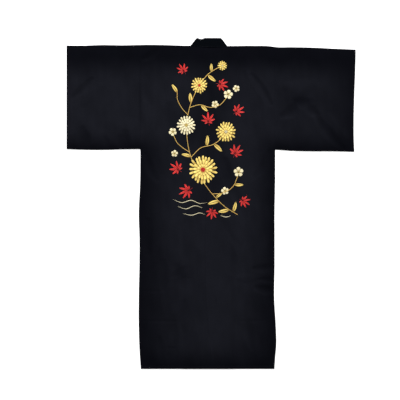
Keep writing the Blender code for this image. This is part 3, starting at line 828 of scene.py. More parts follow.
def body_panel(side):
    """Columns run from the side seam to the neck and the centre seam, rows up the back and down the front."""
    side_x, centre_x = (float(read(BODY, TOP_Y, column)) for column in (side.name, "centre"))
    neck_x = side.band[1].sewn_x + side.sign * SEAM
    neck_off, centre_off = abs(neck_x - side_x), abs(centre_x - side_x)
    to_neck = places(0, neck_off, SQUARE, (0, neck_off))
    to_centre = places(neck_off, centre_off, SQUARE, (centre_off,))[1:]
    off = np.concatenate([to_neck, to_centre])[:, None]
    shares = off / centre_off
    beside_neck = len(to_neck)

    def x_at(share, y):
        edge = read(BODY, y, side.name) + side.sign * SEWN_OVER
        centre = read(BODY, y, "centre") - side.sign * SEWN_OVER
        return mix(edge, centre, share)

    def side_round(off, x, y):
        """How far back and front round towards each other at the side seam."""
        joined = np.clip((ARMHOLE_Y - y) / SIDE_SEAM_START, 0, 1)
        return joined * edge_drop(off, (back_face(x[:1], y[:1]) - SIDE_GAP) / 2)

    at_top = x_at(shares, TOP_Y)
    top_y = read(SLEEVES, at_top, "top") - NECK_DROP
    top_y[beside_neck:] = neck_seam_y(at_top[beside_neck:]) + TUCKED_UNDER
    low = places(HEM_Y, ARMHOLE_Y, SQUARE, (HEM_Y, HEM_Y + HEM_TURN, ARMHOLE_Y))[None, :-1]
    upper = places(0, 1, SQUARE / (TOP_Y - ARMHOLE_Y), (0, 1))[None]
    y = np.concatenate([np.repeat(low, len(off), 0), mix(ARMHOLE_Y, top_y, upper)], 1)
    x = x_at(shares, y)
    back = together(x, y, back_face(x, y) - side_round(off, x, y) - folded_edge(y - HEM_Y))
    back_flat = together(off, y)

    fold_x = x[:beside_neck, -1:]
    top = read(SLEEVES, fold_x, "top")
    radius = back_face(fold_x, top) / 2
    angle = np.linspace(0, math.pi, ARC_STEPS + 1)[None]
    fold = np.full((len(off), ARC_STEPS + 1, 3), np.nan)
    fold[:beside_neck] = together(fold_x, top - radius + radius * np.sin(angle), radius * (1 + np.cos(angle)))
    fold_flat = together(off, TOP_Y - NECK_DROP / 2 + angle * FOLD_TAKES)

    extra = places(0, 1, HIDDEN_SQUARE / BESIDE_NECK, (0, 1))[1:, None]
    cut_y = collar_seam_y(side, mix(neck_x, side.front_edge, extra))
    front_top = np.concatenate([top_y[:beside_neck], cut_y])
    rows = places(0, 1, HIDDEN_SQUARE / LENGTH, (1 - HEM_TURN / LENGTH, 1))[None]
    front_y = mix(front_top, HEM_Y, rows)
    share = np.concatenate([shares[:beside_neck], np.full(extra.shape, shares[beside_neck - 1])])
    beyond = np.concatenate([np.zeros((beside_neck, 1)), extra])
    front_x = mix(x_at(share, front_y), side.front_edge, beyond)
    front_off = np.concatenate([off[:beside_neck], mix(neck_off, neck_off + FRONT_FLARE, extra)])
    front_z = side.front_face(front_x, front_y) + side_round(front_off, front_x, front_y)
    front_z += folded_edge(front_y - HEM_Y)
    armhole_off = np.where(front_y < ARMHOLE_Y, 1, front_off)
    front_z += groove(np.minimum(abs(front_x - side.front_edge), armhole_off))
    front = together(front_x, front_y, front_z)
    front_flat = together(front_off, 2 * TOP_Y - front_y)
    columns = max(len(off), len(front_x))

    def filled(grid):
        spare = np.full((columns - len(grid),) + grid.shape[1:], np.nan)
        return np.concatenate([grid, spare])

    points = np.concatenate([filled(back), filled(fold), filled(front)], 1)
    spread = np.concatenate([filled(back_flat), filled(fold_flat), filled(front_flat)], 1)
    turned = points[..., 1] < HEM_Y + HEM_TURN
    name = side.name + "_body_cloth"
    piece = cloth_piece(name, points, spread, robe_cloth, turned, side.sign > 0)
    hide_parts("body_panel_" + side.name)

    seam_x, hem_centre = (float(read(BODY, HEM_Y, column)) for column in (side.name, "centre"))
    hem_y = HEM_Y + HEM_TURN
    margin = side.sign * STITCHES_STOP
    back_hem = [(seam_x - margin, hem_y), (hem_centre + margin / 4, hem_y)]
    front_hem = [(seam_x - margin, hem_y), (side.front_edge, hem_y)]
    routes = [(back_hem, back_face), (front_hem, side.front_face)]
    sewn = stitches(side.name + "_body_stitches", routes)


body_panel(LEFT)
body_panel(RIGHT)

# The overlap panels, which widen each front so that it wraps over the other.
# Each is a narrower strip sewn to the front's edge, cut to a point under the collar and hemmed down its free
# edge, and of the same black weave.
OVERLAP_TIP_WIDTH = 0.003
EDGE_TURN = 0.009
STITCHES_UNDER_COLLAR = 0.002  # how far short of its end they stop


def overlap_panel(side):
    """Columns run from the seam to the free edge, rows from the hem up to the collar."""
    end = side.band[0]
    towards_edge = -side.sign
    sewn_x = side.front_edge - towards_edge * SEWN_OVER
    tip_x = sewn_x + towards_edge * OVERLAP_TIP_WIDTH
    tip_y = collar_seam_y(side, tip_x)
    low = places(HEM_Y, COLLAR_END_Y, HIDDEN_SQUARE, (HEM_Y, HEM_Y + HEM_TURN, COLLAR_END_Y))
    high = places(COLLAR_END_Y, tip_y, HIDDEN_SQUARE, (COLLAR_END_Y,))[1:]
    y = np.concatenate([low, high])[None]
    above = np.clip((y - COLLAR_END_Y) / (tip_y - COLLAR_END_Y), 0, 1)
    cut_x = mix(end.sewn_x - towards_edge * SEAM, tip_x, above)
    width = abs(end.sewn_x - side.front_edge)
    inner = places(0, 1, HIDDEN_SQUARE / width, (0, 1))[:, None]
    free_off = abs(end.free_x - cut_x[0, 0])
    outer = places(0, free_off, HIDDEN_SQUARE, (free_off - EDGE_TURN, free_off))[1:, None]
    x = np.concatenate([mix(sewn_x, cut_x, inner), cut_x + towards_edge * outer])
    pointed = above * (1 - np.concatenate([inner, np.ones(outer.shape)]))
    y = y + pointed * (collar_seam_y(side, sewn_x) - tip_y)
    edge_off = abs(end.free_x - x)
    z = side.front_face(x, y) + folded_edge(y - HEM_Y) + folded_edge(edge_off) + groove(x - side.front_edge)
    points = together(x, y, z)
    points[len(inner):, len(low):] = np.nan
    spread = together(abs(x - side.front_edge), y)
    turned = (y < HEM_Y + HEM_TURN) | (edge_off < EDGE_TURN)
    name = side.name + "_overlap_cloth"
    piece = cloth_piece(name, points, spread, robe_cloth, turned, side.sign < 0)
    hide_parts("overlap_panel_" + side.name)
    corner = (end.free_x - towards_edge * EDGE_TURN, HEM_Y + HEM_TURN)
    hem = [(sewn_x, corner[1]), corner]
    edge = [corner, (corner[0], COLLAR_END_Y - STITCHES_UNDER_COLLAR)]
    routes = [(hem, side.front_face), (edge, side.front_face)]
    sewn = stitches(side.name + "_overlap_stitches", routes)


overlap_panel(LEFT)
overlap_panel(RIGHT)

# The sleeves, each one length of the same weave folded at the top, sewn along the bottom and to the body, and
# open at the cuff, which is turned twice and stitched like the hem.
CUFF_TURN = 0.012
FLAT_BY_FOLD = 0.004
SEAM_ANGLE = 0.06  # by which back and front stop short of each other round the bottom seam, in radians
STITCHES_BELOW_FOLD = 0.003
ROUTE_STEP = 0.01


def sleeve(side):
    """Columns run from the cuff to the armhole, rows from the bottom seam up the back and down the front."""
    seam_x = float(read(BODY, TOP_Y, side.name)) - side.sign * SEWN_OVER
    cuff_off = abs(SPAN / 2 - abs(seam_x))
    off = places(0, cuff_off, SQUARE, (0, CUFF_TURN, cuff_off))[:, None]
    middle_x = seam_x + side.sign * (cuff_off - off)
    top, bottom = read(SLEEVES, middle_x, "top"), read(SLEEVES, middle_x, "bottom")
    top_radius, bottom_radius = back_face(middle_x, top) / 2, back_face(middle_x, bottom) / 2
    top_middle, bottom_middle = top - top_radius, bottom + bottom_radius
    high, low = top_middle - FLAT_BY_FOLD, bottom_middle + FLAT_BY_FOLD
    depth = TOP_Y - ARMHOLE_Y
    back_y = mix(low, high, places(0, 1, SQUARE / depth, (0, 1))[None])
    front_y = mix(high, low, places(0, 1, HIDDEN_SQUARE / depth, (0, 1))[None])
    quarter = np.linspace(SEAM_ANGLE, math.pi / 2, EDGE_ARC_STEPS + 1)[None]
    half = np.linspace(0, math.pi, ARC_STEPS + 1)[None]
    fold_y = top_middle + top_radius * np.sin(half)
    seam_y = bottom_middle - bottom_radius * np.cos(quarter)
    y = np.concatenate([seam_y, back_y, fold_y, front_y, seam_y[:, ::-1]], 1)
    x = mix(seam_x, read(CUFFS, y, side.name), 1 - off / cuff_off)
    ends = np.cumsum([seam_y.shape[1], back_y.shape[1], fold_y.shape[1], front_y.shape[1]])
    z = np.concatenate([
        bottom_radius * (1 + np.sin(quarter)),
        back_face(x[:, ends[0]:ends[1]], back_y),
        top_radius * (1 + np.cos(half)),
        front_lift(x[:, ends[2]:ends[3]], front_y),
        (bottom_radius * (1 - np.sin(quarter)))[:, ::-1],
    ], 1)
    under = np.arange(y.shape[1])[None] > ends[1] + ARC_STEPS // 2
    cuff = hem_relief(off + HEM_TURN - CUFF_TURN) - folded_edge(off)
    z = z + np.where(under, groove(cuff_off - off) - cuff, cuff)
    steps = np.hypot(np.diff(y, axis=1), np.diff(z, axis=1))
    gone = np.concatenate([np.zeros((len(off), 1)), np.cumsum(steps, 1)], 1)
    points, spread = together(x, y, z), together(off, gone)
    name = side.name + "_sleeve_cloth"
    piece = cloth_piece(name, points, spread, robe_cloth, off < CUFF_TURN, side.sign > 0)
    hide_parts("sleeve_" + side.name)
    start, end = float(bottom[0, 0]) + STITCHES_STOP, float(top[0, 0]) - STITCHES_BELOW_FOLD
    route_y = np.arange(start, end, ROUTE_STEP)
    route = together(read(CUFFS, route_y, side.name) - side.sign * CUFF_TURN, route_y)
    sewn = stitches(side.name + "_sleeve_stitches", [(route, back_face), (route, front_lift)])


sleeve(LEFT)
sleeve(RIGHT)

# The collar, one straight band of the same cloth doubled lengthwise over the neck's edge and pressed firm.
# It runs up the left front, folds over beside the neck, lies behind it, folds again and runs down the right
# front.
BAND_SQUARE = 0.0055
COLLAR_SQUARE = 0.0042
COLLAR_STITCH_IN = 0.003
STITCHED_SHARE = 0.985  # of each front stretch
NECK_ROUTE_POINTS = 40
CORNER_TUCK = 0.0024  # how far its two folds reach in under the shoulders
BAND_PUFF = 0.00025  # how far its outer face swells all along
NECK_PUFF = 0.0008  # how far it stands up behind the neck
NECK_STEP = 0.03  # of its width there, from one row of the mesh to the next
DENT_DEPTH = 0.0005  # where each fold pulls it down
DENT_IN = 0.009
DENT_WIDTH = 0.002

NeckSection = namedtuple("NeckSection", "x y")
COLLAR_TOP = (
    NeckSection(-0.0650, 0.7343),
    NeckSection(-0.0585, 0.7343),
    NeckSection(-0.0500, 0.7308),
    NeckSection(-0.0410, 0.7298),
    NeckSection(-0.0340, 0.7325),
    NeckSection(-0.0280, TOP_Y),
    NeckSection(0.0430, TOP_Y),
    NeckSection(0.0475, 0.7325),
)

# The collar's two blacks, one for painted shade and one for painted light, mixed like the robe's.
collar_cloth = woven_cloth("collar_cloth", (0.0010, 0.0014, 0.0022), (0.0016, 0.0022, 0.0032), 0.006)


def collar():
    """Rows run along the band, columns across its outer face, round its free edge and back inside.

    Each row starts as its sewn point, its free point and the way from the outer to the inner face.
    """
    radius = COLLAR_FOLD_HEIGHT / 2

    def turn(band, outwards):
        """The sewn and the free corner of a fold, and the way that its bend bulges."""
        sewn = np.array([band[1].sewn_x, band[1].sewn_y, 0])
        free = np.array([band[1].free_x, band[1].free_y, 0])
        run = unit(free - sewn)
        bulge = outwards * np.array([run[1], -run[0], 0])
        return sewn - radius * bulge, free - radius * bulge, bulge

    def front_rows(side):
        """From the collar's end up to the shoulder."""
        end, shoulder = side.band
        found = []
        count = int(math.hypot(shoulder.sewn_x - end.sewn_x, shoulder.sewn_y - end.sewn_y) / BAND_SQUARE)
        for share in np.linspace(0, 1, count, endpoint=False):
            row = BandSection(*mix(np.array(end), np.array(shoulder), share))
            sewn = np.array([row.sewn_x, row.sewn_y, float(side.front_face(row.sewn_x, row.sewn_y))])
            free = np.array([row.free_x, row.free_y, float(side.front_face(row.free_x, row.free_y))])
            found.append((sewn, free, np.array([0.0, 0.0, 1.0])))
        return found

    def fold_rows(side, outwards):
        """Round the fold beside the neck, from the front to the back."""
        sewn, free, bulge = turn(side.band, outwards)
        tucked = sewn - (free - sewn) / COLLAR_WIDTH * CORNER_TUCK
        found = []
        for angle in np.linspace(0, math.pi, ARC_STEPS + 1):
            out = radius * math.sin(angle) * bulge + np.array([0, 0, radius * (1 - math.cos(angle))])
            inwards = np.array([0, 0, math.cos(angle)]) - math.sin(angle) * bulge
            found.append((tucked + out, free + out, inwards))
        return found

    left_sewn, left_free, _ = turn(LEFT_BAND, -1)
    right_sewn, right_free, _ = turn(RIGHT_BAND, 1)
    neck_width = right_sewn[0] - left_sewn[0]

    def neck_face(x, y):
        """The outer face along the neck seam."""
        off = np.minimum(x - left_sewn[0], right_sewn[0] - x)
        puff = NECK_PUFF * np.sin(math.pi * off / neck_width)
        return COLLAR_FOLD_HEIGHT + puff - DENT_DEPTH * bell(off - DENT_IN, DENT_WIDTH)

    dent = DENT_IN / neck_width
    neck_rows = []
    for share in places(0, 1, NECK_STEP, (0, dent, 1 - dent, 1))[1:-1]:
        sewn_x, free_x = mix(left_sewn[0], right_sewn[0], share), mix(left_free[0], right_free[0], share)
        top = np.interp(free_x, [row.x for row in COLLAR_TOP], [row.y for row in COLLAR_TOP])
        height = float(neck_face(sewn_x, 0))
        low = np.array([sewn_x, float(neck_seam_y(sewn_x)), height])
        high = np.array([free_x, float(top), mix(COLLAR_FOLD_HEIGHT, height, 0.5)])
        neck_rows.append((low, high, np.array([0.0, 0.0, -1.0])))
    left_rows, right_rows = front_rows(LEFT) + fold_rows(LEFT, -1), front_rows(RIGHT) + fold_rows(RIGHT, 1)

    edge = COLLAR_CLOTH / 2
    across = places(0, COLLAR_WIDTH, COLLAR_SQUARE, (0, COLLAR_WIDTH))[:, None] / COLLAR_WIDTH
    arc = np.linspace(0, math.pi, ARC_STEPS + 1)[1:-1, None]
    points, middles = [], []
    for sewn, free, inwards in left_rows + neck_rows + right_rows[::-1]:
        way = unit(free - sewn)
        bent = free - way * edge
        outer = mix(sewn, bent, across) - inwards * BAND_PUFF * np.sin(math.pi * across)
        bend = bent + inwards * edge + edge * (way * np.sin(arc) - inwards * np.cos(arc))
        inner = mix(sewn, bent, across[::-1]) + inwards * COLLAR_CLOTH
        points.append(np.concatenate([outer, bend, inner]))
        middles.append((sewn + free) / 2)
    gone = distance_along(np.array(middles))
    spread = [together(distance_along(column), place) for column, place in zip(points, gone)]
    points, spread = np.array(points).transpose(1, 0, 2), np.array(spread).transpose(1, 0, 2)
    piece = cloth_piece("collar_band", points, spread, collar_cloth, mirrored=True)
    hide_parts("collar")

    routes = []
    for side in (LEFT, RIGHT):
        end, shoulder = side.band
        inset = math.copysign(COLLAR_STITCH_IN, end.free_x - end.sewn_x)
        start = np.array([end.sewn_x + inset, end.sewn_y])
        finish = np.array([shoulder.sewn_x + inset, shoulder.sewn_y])
        routes.append(([start, mix(start, finish, STITCHED_SHARE)], side.front_face))
    ends = (LEFT_BAND[1].sewn_x + STITCHES_STOP, RIGHT_BAND[1].sewn_x - STITCHES_STOP)
    x = np.linspace(*ends, NECK_ROUTE_POINTS)
    routes.append((together(x, neck_seam_y(x) + COLLAR_STITCH_IN), neck_face))
    sewn = stitches("collar_stitches", routes)


collar()

# The embroidery across the upper back, a spray of autumn flowers worked in glossy silk through the cloth.
# Its stems are three-ply gold cord laid on the cloth and tied down every few millimetres with red silk. Where
# a stem meets a bloom, its end goes down through the cloth under the petals.
SATIN_BUNDLE = 0.0012  # from one bundle of threads to the next
SATIN_PAD = 0.0007  # how far a patch of satin stitch stands up in its middle
SATIN_SUNK = 0.0002
SATIN_ACROSS = np.array([0, 0.14, 0.5, 0.86, 1])
SATIN_STEEPEST = 0.35  # of a narrow patch's width, the most that it stands up
SATIN_FLATNESS = 0.6
BUNDLE_GROOVE = 0.00016
BUNDLE_INSET = 0.03
STEM_RADIUS = 0.0013
STEM_PLIES = 3
STEM_SIDES = 12
STEM_LAY = 0.0066
STEM_STEP = 0.0006
STEM_STANDS = 0.7  # of its radius, from the cloth to its middle
STEM_SHADE = 0.55
PLY_DEPTH = 0.18  # of its radius
STEM_SINKS = (1.04, 0.88)  # of a bloom's radius, where its stem starts to go down and where it is gone
STEM_SUNK = 0.0028
FEWEST_STEPS = 8  # of a stretch of stem between two blooms
TIE_STEP = 0.0085
TIE_RADIUS = 0.00032
TIE_SHADE = 0.8
TIE_SIDES = 5
TIE_STANDS = 0.6  # of its radius, off the cord
TIE_POINTS = 7
TIE_FROM_END = 4  # steps of the stem
TIE_ENDS = 0.35  # radians that each tie runs past the half turn, down beside the cord
SPLINE_POINTS = 24

Spot = namedtuple("Spot", "x y")
STEMS = (
    (Spot(0.118, -0.050), Spot(0.066, -0.018), Spot(0.004, 0.044), Spot(-0.052, 0.124), Spot(-0.092, 0.215),
     Spot(-0.108, 0.315), Spot(-0.098, 0.415), Spot(-0.062, 0.505), Spot(-0.008, 0.578), Spot(0.034, 0.604)),
    (Spot(-0.088, 0.206), Spot(-0.046, 0.246), Spot(0.010, 0.262), Spot(0.056, 0.296)),
    (Spot(-0.096, 0.228), Spot(-0.124, 0.246), Spot(-0.152, 0.272), Spot(-0.166, 0.302)),
    (Spot(-0.102, 0.392), Spot(-0.130, 0.424), Spot(-0.149, 0.462), Spot(-0.150, 0.500)),
    (Spot(0.006, 0.042), Spot(0.056, 0.048), Spot(0.098, 0.076), Spot(0.118, 0.120)),
    (Spot(-0.094, 0.426), Spot(-0.050, 0.438), Spot(-0.002, 0.426), Spot(0.040, 0.438), Spot(0.068, 0.468)),
)

Bloom = namedtuple("Bloom", "x y radius petals turn")
LARGE_BLOOM = Bloom(-0.036, 0.150, 0.066, 21, 0.10)
SIDE_BLOOM = Bloom(0.066, 0.318, 0.046, 18, 0.50)
TOP_BLOOM = Bloom(-0.052, 0.524, 0.037, 16, 0.20)
END_BLOOM = Bloom(0.050, 0.612, 0.022, 12, 0.00)
PALE_BLOOM = Bloom(-0.110, 0.348, 0.044, 17, 0.00)
BLOOMS = (LARGE_BLOOM, SIDE_BLOOM, TOP_BLOOM, END_BLOOM, PALE_BLOOM)

worker = np.random.default_rng(41)


def sewing_face(x, y):
    """The back's face as the embroidery lies on it, which bridges the groove of the centre back seam."""
    off = x - read(BODY, y, "centre")
    return back_face(x, y) - seam_relief(x, y) + LAP_RISE * bell(off, LAP_WIDTH)


def spline(spots, step):
    """Points at even steps on a smooth curve through given spots."""
    spots = np.array(spots, float)
    gone = distance_along(spots)
    slopes = np.gradient(spots, gone, axis=0)
    share = np.linspace(0, 1, SPLINE_POINTS)[:, None]
    found = []
    for length, here, there, leave, arrive in zip(np.diff(gone), spots, spots[1:], slopes, slopes[1:]):
        found.append(curve(share, here, there, length * leave, length * arrive))
    return even_steps(np.concatenate(found), step)


def sideways_of(path):
    """Unit directions to the right of a flat path."""
    along = unit(np.gradient(path, axis=0))
    return together(along[:, 1], -along[:, 0])


def around(centre, reach, angle):
    """Points at some reach and angle from the middle of a flower or a leaf."""
    return together(centre.x + reach * np.cos(angle), centre.y + reach * np.sin(angle))


Worked = namedtuple("Worked", "points faces threads shade")


def satin(edge, other_edge, shade, lift=0.0):
    """Satin stitch between two edges, in bundles of thread side by side. Shade is 0 deep to 1 bright."""
    run, over = edge[-1] - edge[0], (other_edge - edge).mean(0)
    if run[0] * over[1] - run[1] * over[0] < 0:
        edge, other_edge = other_edge, edge
    gone = distance_along((edge + other_edge) / 2)
    count = 2 * max(int(round(gone[-1] / SATIN_BUNDLE)), 2) + 1
    at = np.linspace(0, gone[-1], count)
    near, far = points_at(at, gone, edge), points_at(at, gone, other_edge)
    width = np.hypot(*(far - near).T)[:, None]
    between = (np.arange(count) % 2 == 0)[:, None]
    inset = np.where(between, BUNDLE_INSET, 0)
    across = mix(inset, 1 - inset, SATIN_ACROSS[None])
    flat = mix(near[:, None], far[:, None], across[..., None])
    tallest = np.minimum(SATIN_PAD + SATIN_SUNK, SATIN_STEEPEST * width)
    dome = tallest * np.sin(math.pi * SATIN_ACROSS) ** SATIN_FLATNESS
    relief = dome - SATIN_SUNK - np.where(between, BUNDLE_GROOVE, 0) * (dome > 0)
    height = sewing_face(flat[..., 0], flat[..., 1]) + lift + relief
    points = np.concatenate([flat, height[..., None]], -1)
    index = np.arange(height.size).reshape(count, -1)
    top = together(index[:-1, :-1], index[1:, :-1], index[1:, 1:], index[:-1, 1:]).reshape(-1, 4)
    under = together(index[:-1, 0], index[:-1, -1], index[1:, -1], index[1:, 0])
    faces = top.tolist() + under.tolist() + [index[0].tolist(), index[-1][::-1].tolist()]
    shade = np.atleast_1d(shade)
    tone = np.interp(at / gone[-1], np.linspace(0, 1, len(shade)), shade)
    threads = together(at[:, None], across * width).reshape(-1, 2)
    return Worked(points.reshape(-1, 3), faces, threads, np.repeat(tone, len(SATIN_ACROSS)))


def thread_round(path, sideways, radius, sides, shade, plies=0, lay=1.0):
    """A round thread or a plied cord along a path in space, closed at both ends."""
    upwards = np.cross(sideways, unit(np.gradient(path, axis=0)))
    gone = distance_along(path)
    angle = np.arange(sides) * 2 * math.pi / sides
    twist = np.cos(plies * (angle[None] - 2 * math.pi * gone[:, None] / lay))
    size = radius * mix(1, twist, PLY_DEPTH)
    out = np.cos(angle)[None, :, None] * sideways[:, None] + np.sin(angle)[None, :, None] * upwards[:, None]
    points = path[:, None] + size[..., None] * out
    index = np.arange(len(path) * sides).reshape(len(path), sides)
    beside = np.roll(index, -1, axis=1)
    quads = together(index[:-1], index[1:], beside[1:], beside[:-1]).reshape(-1, 4)
    faces = quads.tolist() + [index[0].tolist(), index[-1][::-1].tolist()]
    threads = together(gone[:, None], angle[None] * radius).reshape(-1, 2)
    return Worked(points.reshape(-1, 3), faces, threads, np.full(index.size, shade, float))


def laid_thread(flat, height, radius, sides, shade, plies=0, lay=1.0):
    """The same along a path over the cloth, at a height at each of its points."""
    sideways = np.column_stack([sideways_of(flat), np.zeros(len(flat))])
    return thread_round(np.column_stack([flat, height]), sideways, radius, sides, shade, plies, lay)


STREAK_GRAIN = (2400, 60)
STREAK_SHADES = (0.72, 1.22)
DYE_GRAIN = (240, 160)
DYE_SHADES = (-0.30, 0.30)
SILK_ROUGHNESS = (0.28, 0.48)
STREAK_STRENGTH = 0.6
STREAK_HEIGHT = 0.0002
Silk = namedtuple("Silk", "finish slot")


def silk(name, slot, deep, bright, gloss):
    """Glossy embroidery silk: fine threads side by side in each bundle, no two dyed quite alike."""
    made, tree, shader = new_finish(name)
    threads = add_node(tree, "ShaderNodeUVMap", uv_map="threads")["UV"]
    tone = add_node(tree, "ShaderNodeAttribute", attribute_name="shade")["Fac"]
    streaks = scaled_noise(tree, threads, STREAK_GRAIN, 1)
    dye = ranged(tree, scaled_noise(tree, threads, DYE_GRAIN, 2), *DYE_SHADES)
    lay = blended(tree, reckoned(tree, "ADD", tone, dye), (*deep, 1), (*bright, 1), clamp_factor=True)
    streaked = ranged(tree, streaks, *STREAK_SHADES)
    feed(tree, shader, {
        "Base Color": blended(tree, 1, lay, streaked, blend_type="MULTIPLY"),
        "Roughness": ranged(tree, streaks, *SILK_ROUGHNESS),
        "Normal": bumped(tree, streaks, STREAK_STRENGTH, STREAK_HEIGHT),
        "Specular IOR Level": 0.32,
        "Specular Tint": (*gloss, 1),
    })
    return Silk(made, slot)


gold = silk("gold_silk", "embroidery_gold", (0.30, 0.17, 0.028), (0.82, 0.64, 0.18), (1, 0.86, 0.55))
red = silk("red_silk", "embroidery_red", (0.24, 0.008, 0.007), (0.78, 0.046, 0.042), (1, 0.42, 0.40))
cream = silk("cream_silk", "embroidery_cream", (0.40, 0.33, 0.17), (0.78, 0.72, 0.48), (1, 0.96, 0.86))


def sewn_on(name, worked, thread):
    """One piece of embroidery from everything that is worked in one go."""
    first = np.cumsum([0] + [len(part.points) for part in worked])
    faces = []
    for start, part in zip(first.tolist(), worked):
        faces += [[corner + start for corner in face] for face in part.faces]
    piece = shaped(name, np.concatenate([part.points for part in worked]), faces, thread.finish)
    corner_points = np.empty(len(piece.data.loops), np.int32)
    piece.data.loops.foreach_get("vertex_index", corner_points)
    spread = np.concatenate([part.threads for part in worked])[corner_points]
    marked(piece.data, "threads", spread, "shade", np.concatenate([part.shade for part in worked]))
    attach(piece, "root")


def sunk_at_blooms(path):
    """0 where a stem lies on the cloth, and 1 where it has gone down through it under a bloom's petals."""
    start, end = STEM_SINKS
    sunk = np.zeros(len(path))
    for bloom in BLOOMS:
        share = np.hypot(path[:, 0] - bloom.x, path[:, 1] - bloom.y) / bloom.radius
        sunk = np.maximum(sunk, np.clip((start - share) / (start - end), 0, 1))
    return sunk


def outside_blooms(path):
    """The stretches of a path that no bloom covers."""
    covered = sunk_at_blooms(path) == 1
    cuts = np.flatnonzero(np.diff(covered.astype(int))) + 1
    stretches = zip(np.split(path, cuts), np.split(covered, cuts))
    return [part for part, hidden in stretches if not hidden[0] and len(part) > FEWEST_STEPS]


cords, ties = [], []
for spots in STEMS:
    for path in outside_blooms(spline(spots, STEM_STEP)):
        sunk = sunk_at_blooms(path)
        height = sewing_face(path[:, 0], path[:, 1]) + STEM_RADIUS * STEM_STANDS - STEM_SUNK * sunk
        cords.append(laid_thread(path, height, STEM_RADIUS, STEM_SIDES, STEM_SHADE, STEM_PLIES, STEM_LAY))
        for spot in range(TIE_FROM_END, len(path) - TIE_FROM_END, round(TIE_STEP / STEM_STEP)):
            if sunk[spot] > 0:
                continue
            sideways = np.array([*sideways_of(path)[spot], 0.0])
            angle = np.linspace(-TIE_ENDS, math.pi + TIE_ENDS, TIE_POINTS)[:, None]
            over = np.cos(angle) * sideways + np.sin(angle) * np.array([0.0, 0.0, 1.0])
            arch = np.array([*path[spot], height[spot]]) + (STEM_RADIUS + TIE_RADIUS * TIE_STANDS) * over
            forward = np.tile((-sideways[1], sideways[0], 0.0), (TIE_POINTS, 1))
            ties.append(thread_round(arch, forward, TIE_RADIUS, TIE_SIDES, TIE_SHADE))
sewn_on("stem_cord", cords, gold)
sewn_on("stem_ties", ties, red)

# The chrysanthemums, three rings of petals in silk satin stitch over felt, with a heart of small knots.
# Four are gold and one is cream. Each petal is worked from its root out, and is paler towards its tip.
HEART_SHARE = 0.15
HEART_LIFT = 0.0018
KNOTS_IN_HEART = 24
KNOT_SPACE = 0.95  # of its share of the heart that each knot fills
KNOT_TURNS = 2.1
KNOT_STEPS = 17
KNOT_SIDES = 6
KNOT_STARTS = 900  # radians for each metre across the robe, so that no two knots start alike
KNOT_SHADES = (0.4, 0.9)
KNOT_THREAD = 0.40  # of the knot's radius, as the next two are
KNOT_COIL = (0.64, 0.24)
KNOT_RISE = (0.20, 0.62)
GOLDEN_ANGLE = math.pi * (3 - math.sqrt(5))
PETAL_POINTS = 30
PETAL_ENDS = 0.02  # radians short of its root and its tip, where its outline closes
PETAL_ROOT = 0.42  # of its full width
PETAL_FULL_AT = 0.72  # of its length
PETAL_TIP_FROM = 0.74
PETAL_TIP_LENGTH = 0.262
PETAL_TIP_WIDTH = 0.1  # of its full width, the least that its last threads have
PETAL_MEAN = 0.80  # of its ring's outer radius, where its width is measured
FEWEST_PETALS = 7
PETAL_BEND = 0.10
ANGLE_VARIES = 0.02  # the petals vary by so much, because they are worked by eye
BEND_VARIES = 0.03
SHADE_VARIES = 0.14
REACH_VARIES = (0.88, 1.0)


def petal(bloom, angle, start, end, wide, bend, lift, shades):
    """A long petal, narrow at its root and round at its tip, bent a little to one side."""
    share = np.sin(np.linspace(PETAL_ENDS, math.pi / 2 - PETAL_ENDS, PETAL_POINTS))
    middle = around(bloom, mix(start, end, share), angle + bend * share**2)
    body = mix(PETAL_ROOT, 1, np.sin(np.clip(share / PETAL_FULL_AT, 0, 1) * math.pi / 2))
    tip = np.sqrt(np.clip(1 - (np.clip(share - PETAL_TIP_FROM, 0, 1) / PETAL_TIP_LENGTH) ** 2, 0, 1))
    tip = np.maximum(tip, PETAL_TIP_WIDTH)
    half = sideways_of(middle) * (wide / 2 * body * tip)[:, None]
    return satin(middle - half, middle + half, shades, lift)


def knot(x, y, lift, radius, shade):
    """A French knot: the thread wound twice round the needle and drawn down into a small coil."""
    share = np.linspace(0, 1, KNOT_STEPS)
    angle = share * KNOT_TURNS * 2 * math.pi + x * KNOT_STARTS
    flat = around(Spot(x, y), radius * mix(*KNOT_COIL, share), angle)
    height = sewing_face(flat[:, 0], flat[:, 1]) + lift + radius * mix(*KNOT_RISE, share)
    return laid_thread(flat, height, radius * KNOT_THREAD, KNOT_SIDES, shade)


PetalRing = namedtuple("PetalRing", "fewer start end fill lift offset shades")
PETAL_RINGS = (
    PetalRing(0, 0.44, 1.00, 0.74, 0.0, 0.0, (0.00, 0.20, 0.50, 0.75)),
    PetalRing(5, 0.24, 0.70, 0.80, 0.0008, 0.5, (0.15, 0.50, 0.80, 1.00)),
    PetalRing(9, 0.12, 0.40, 0.84, 0.0015, 0.2, (0.10, 0.45, 0.80, 1.00)),
)


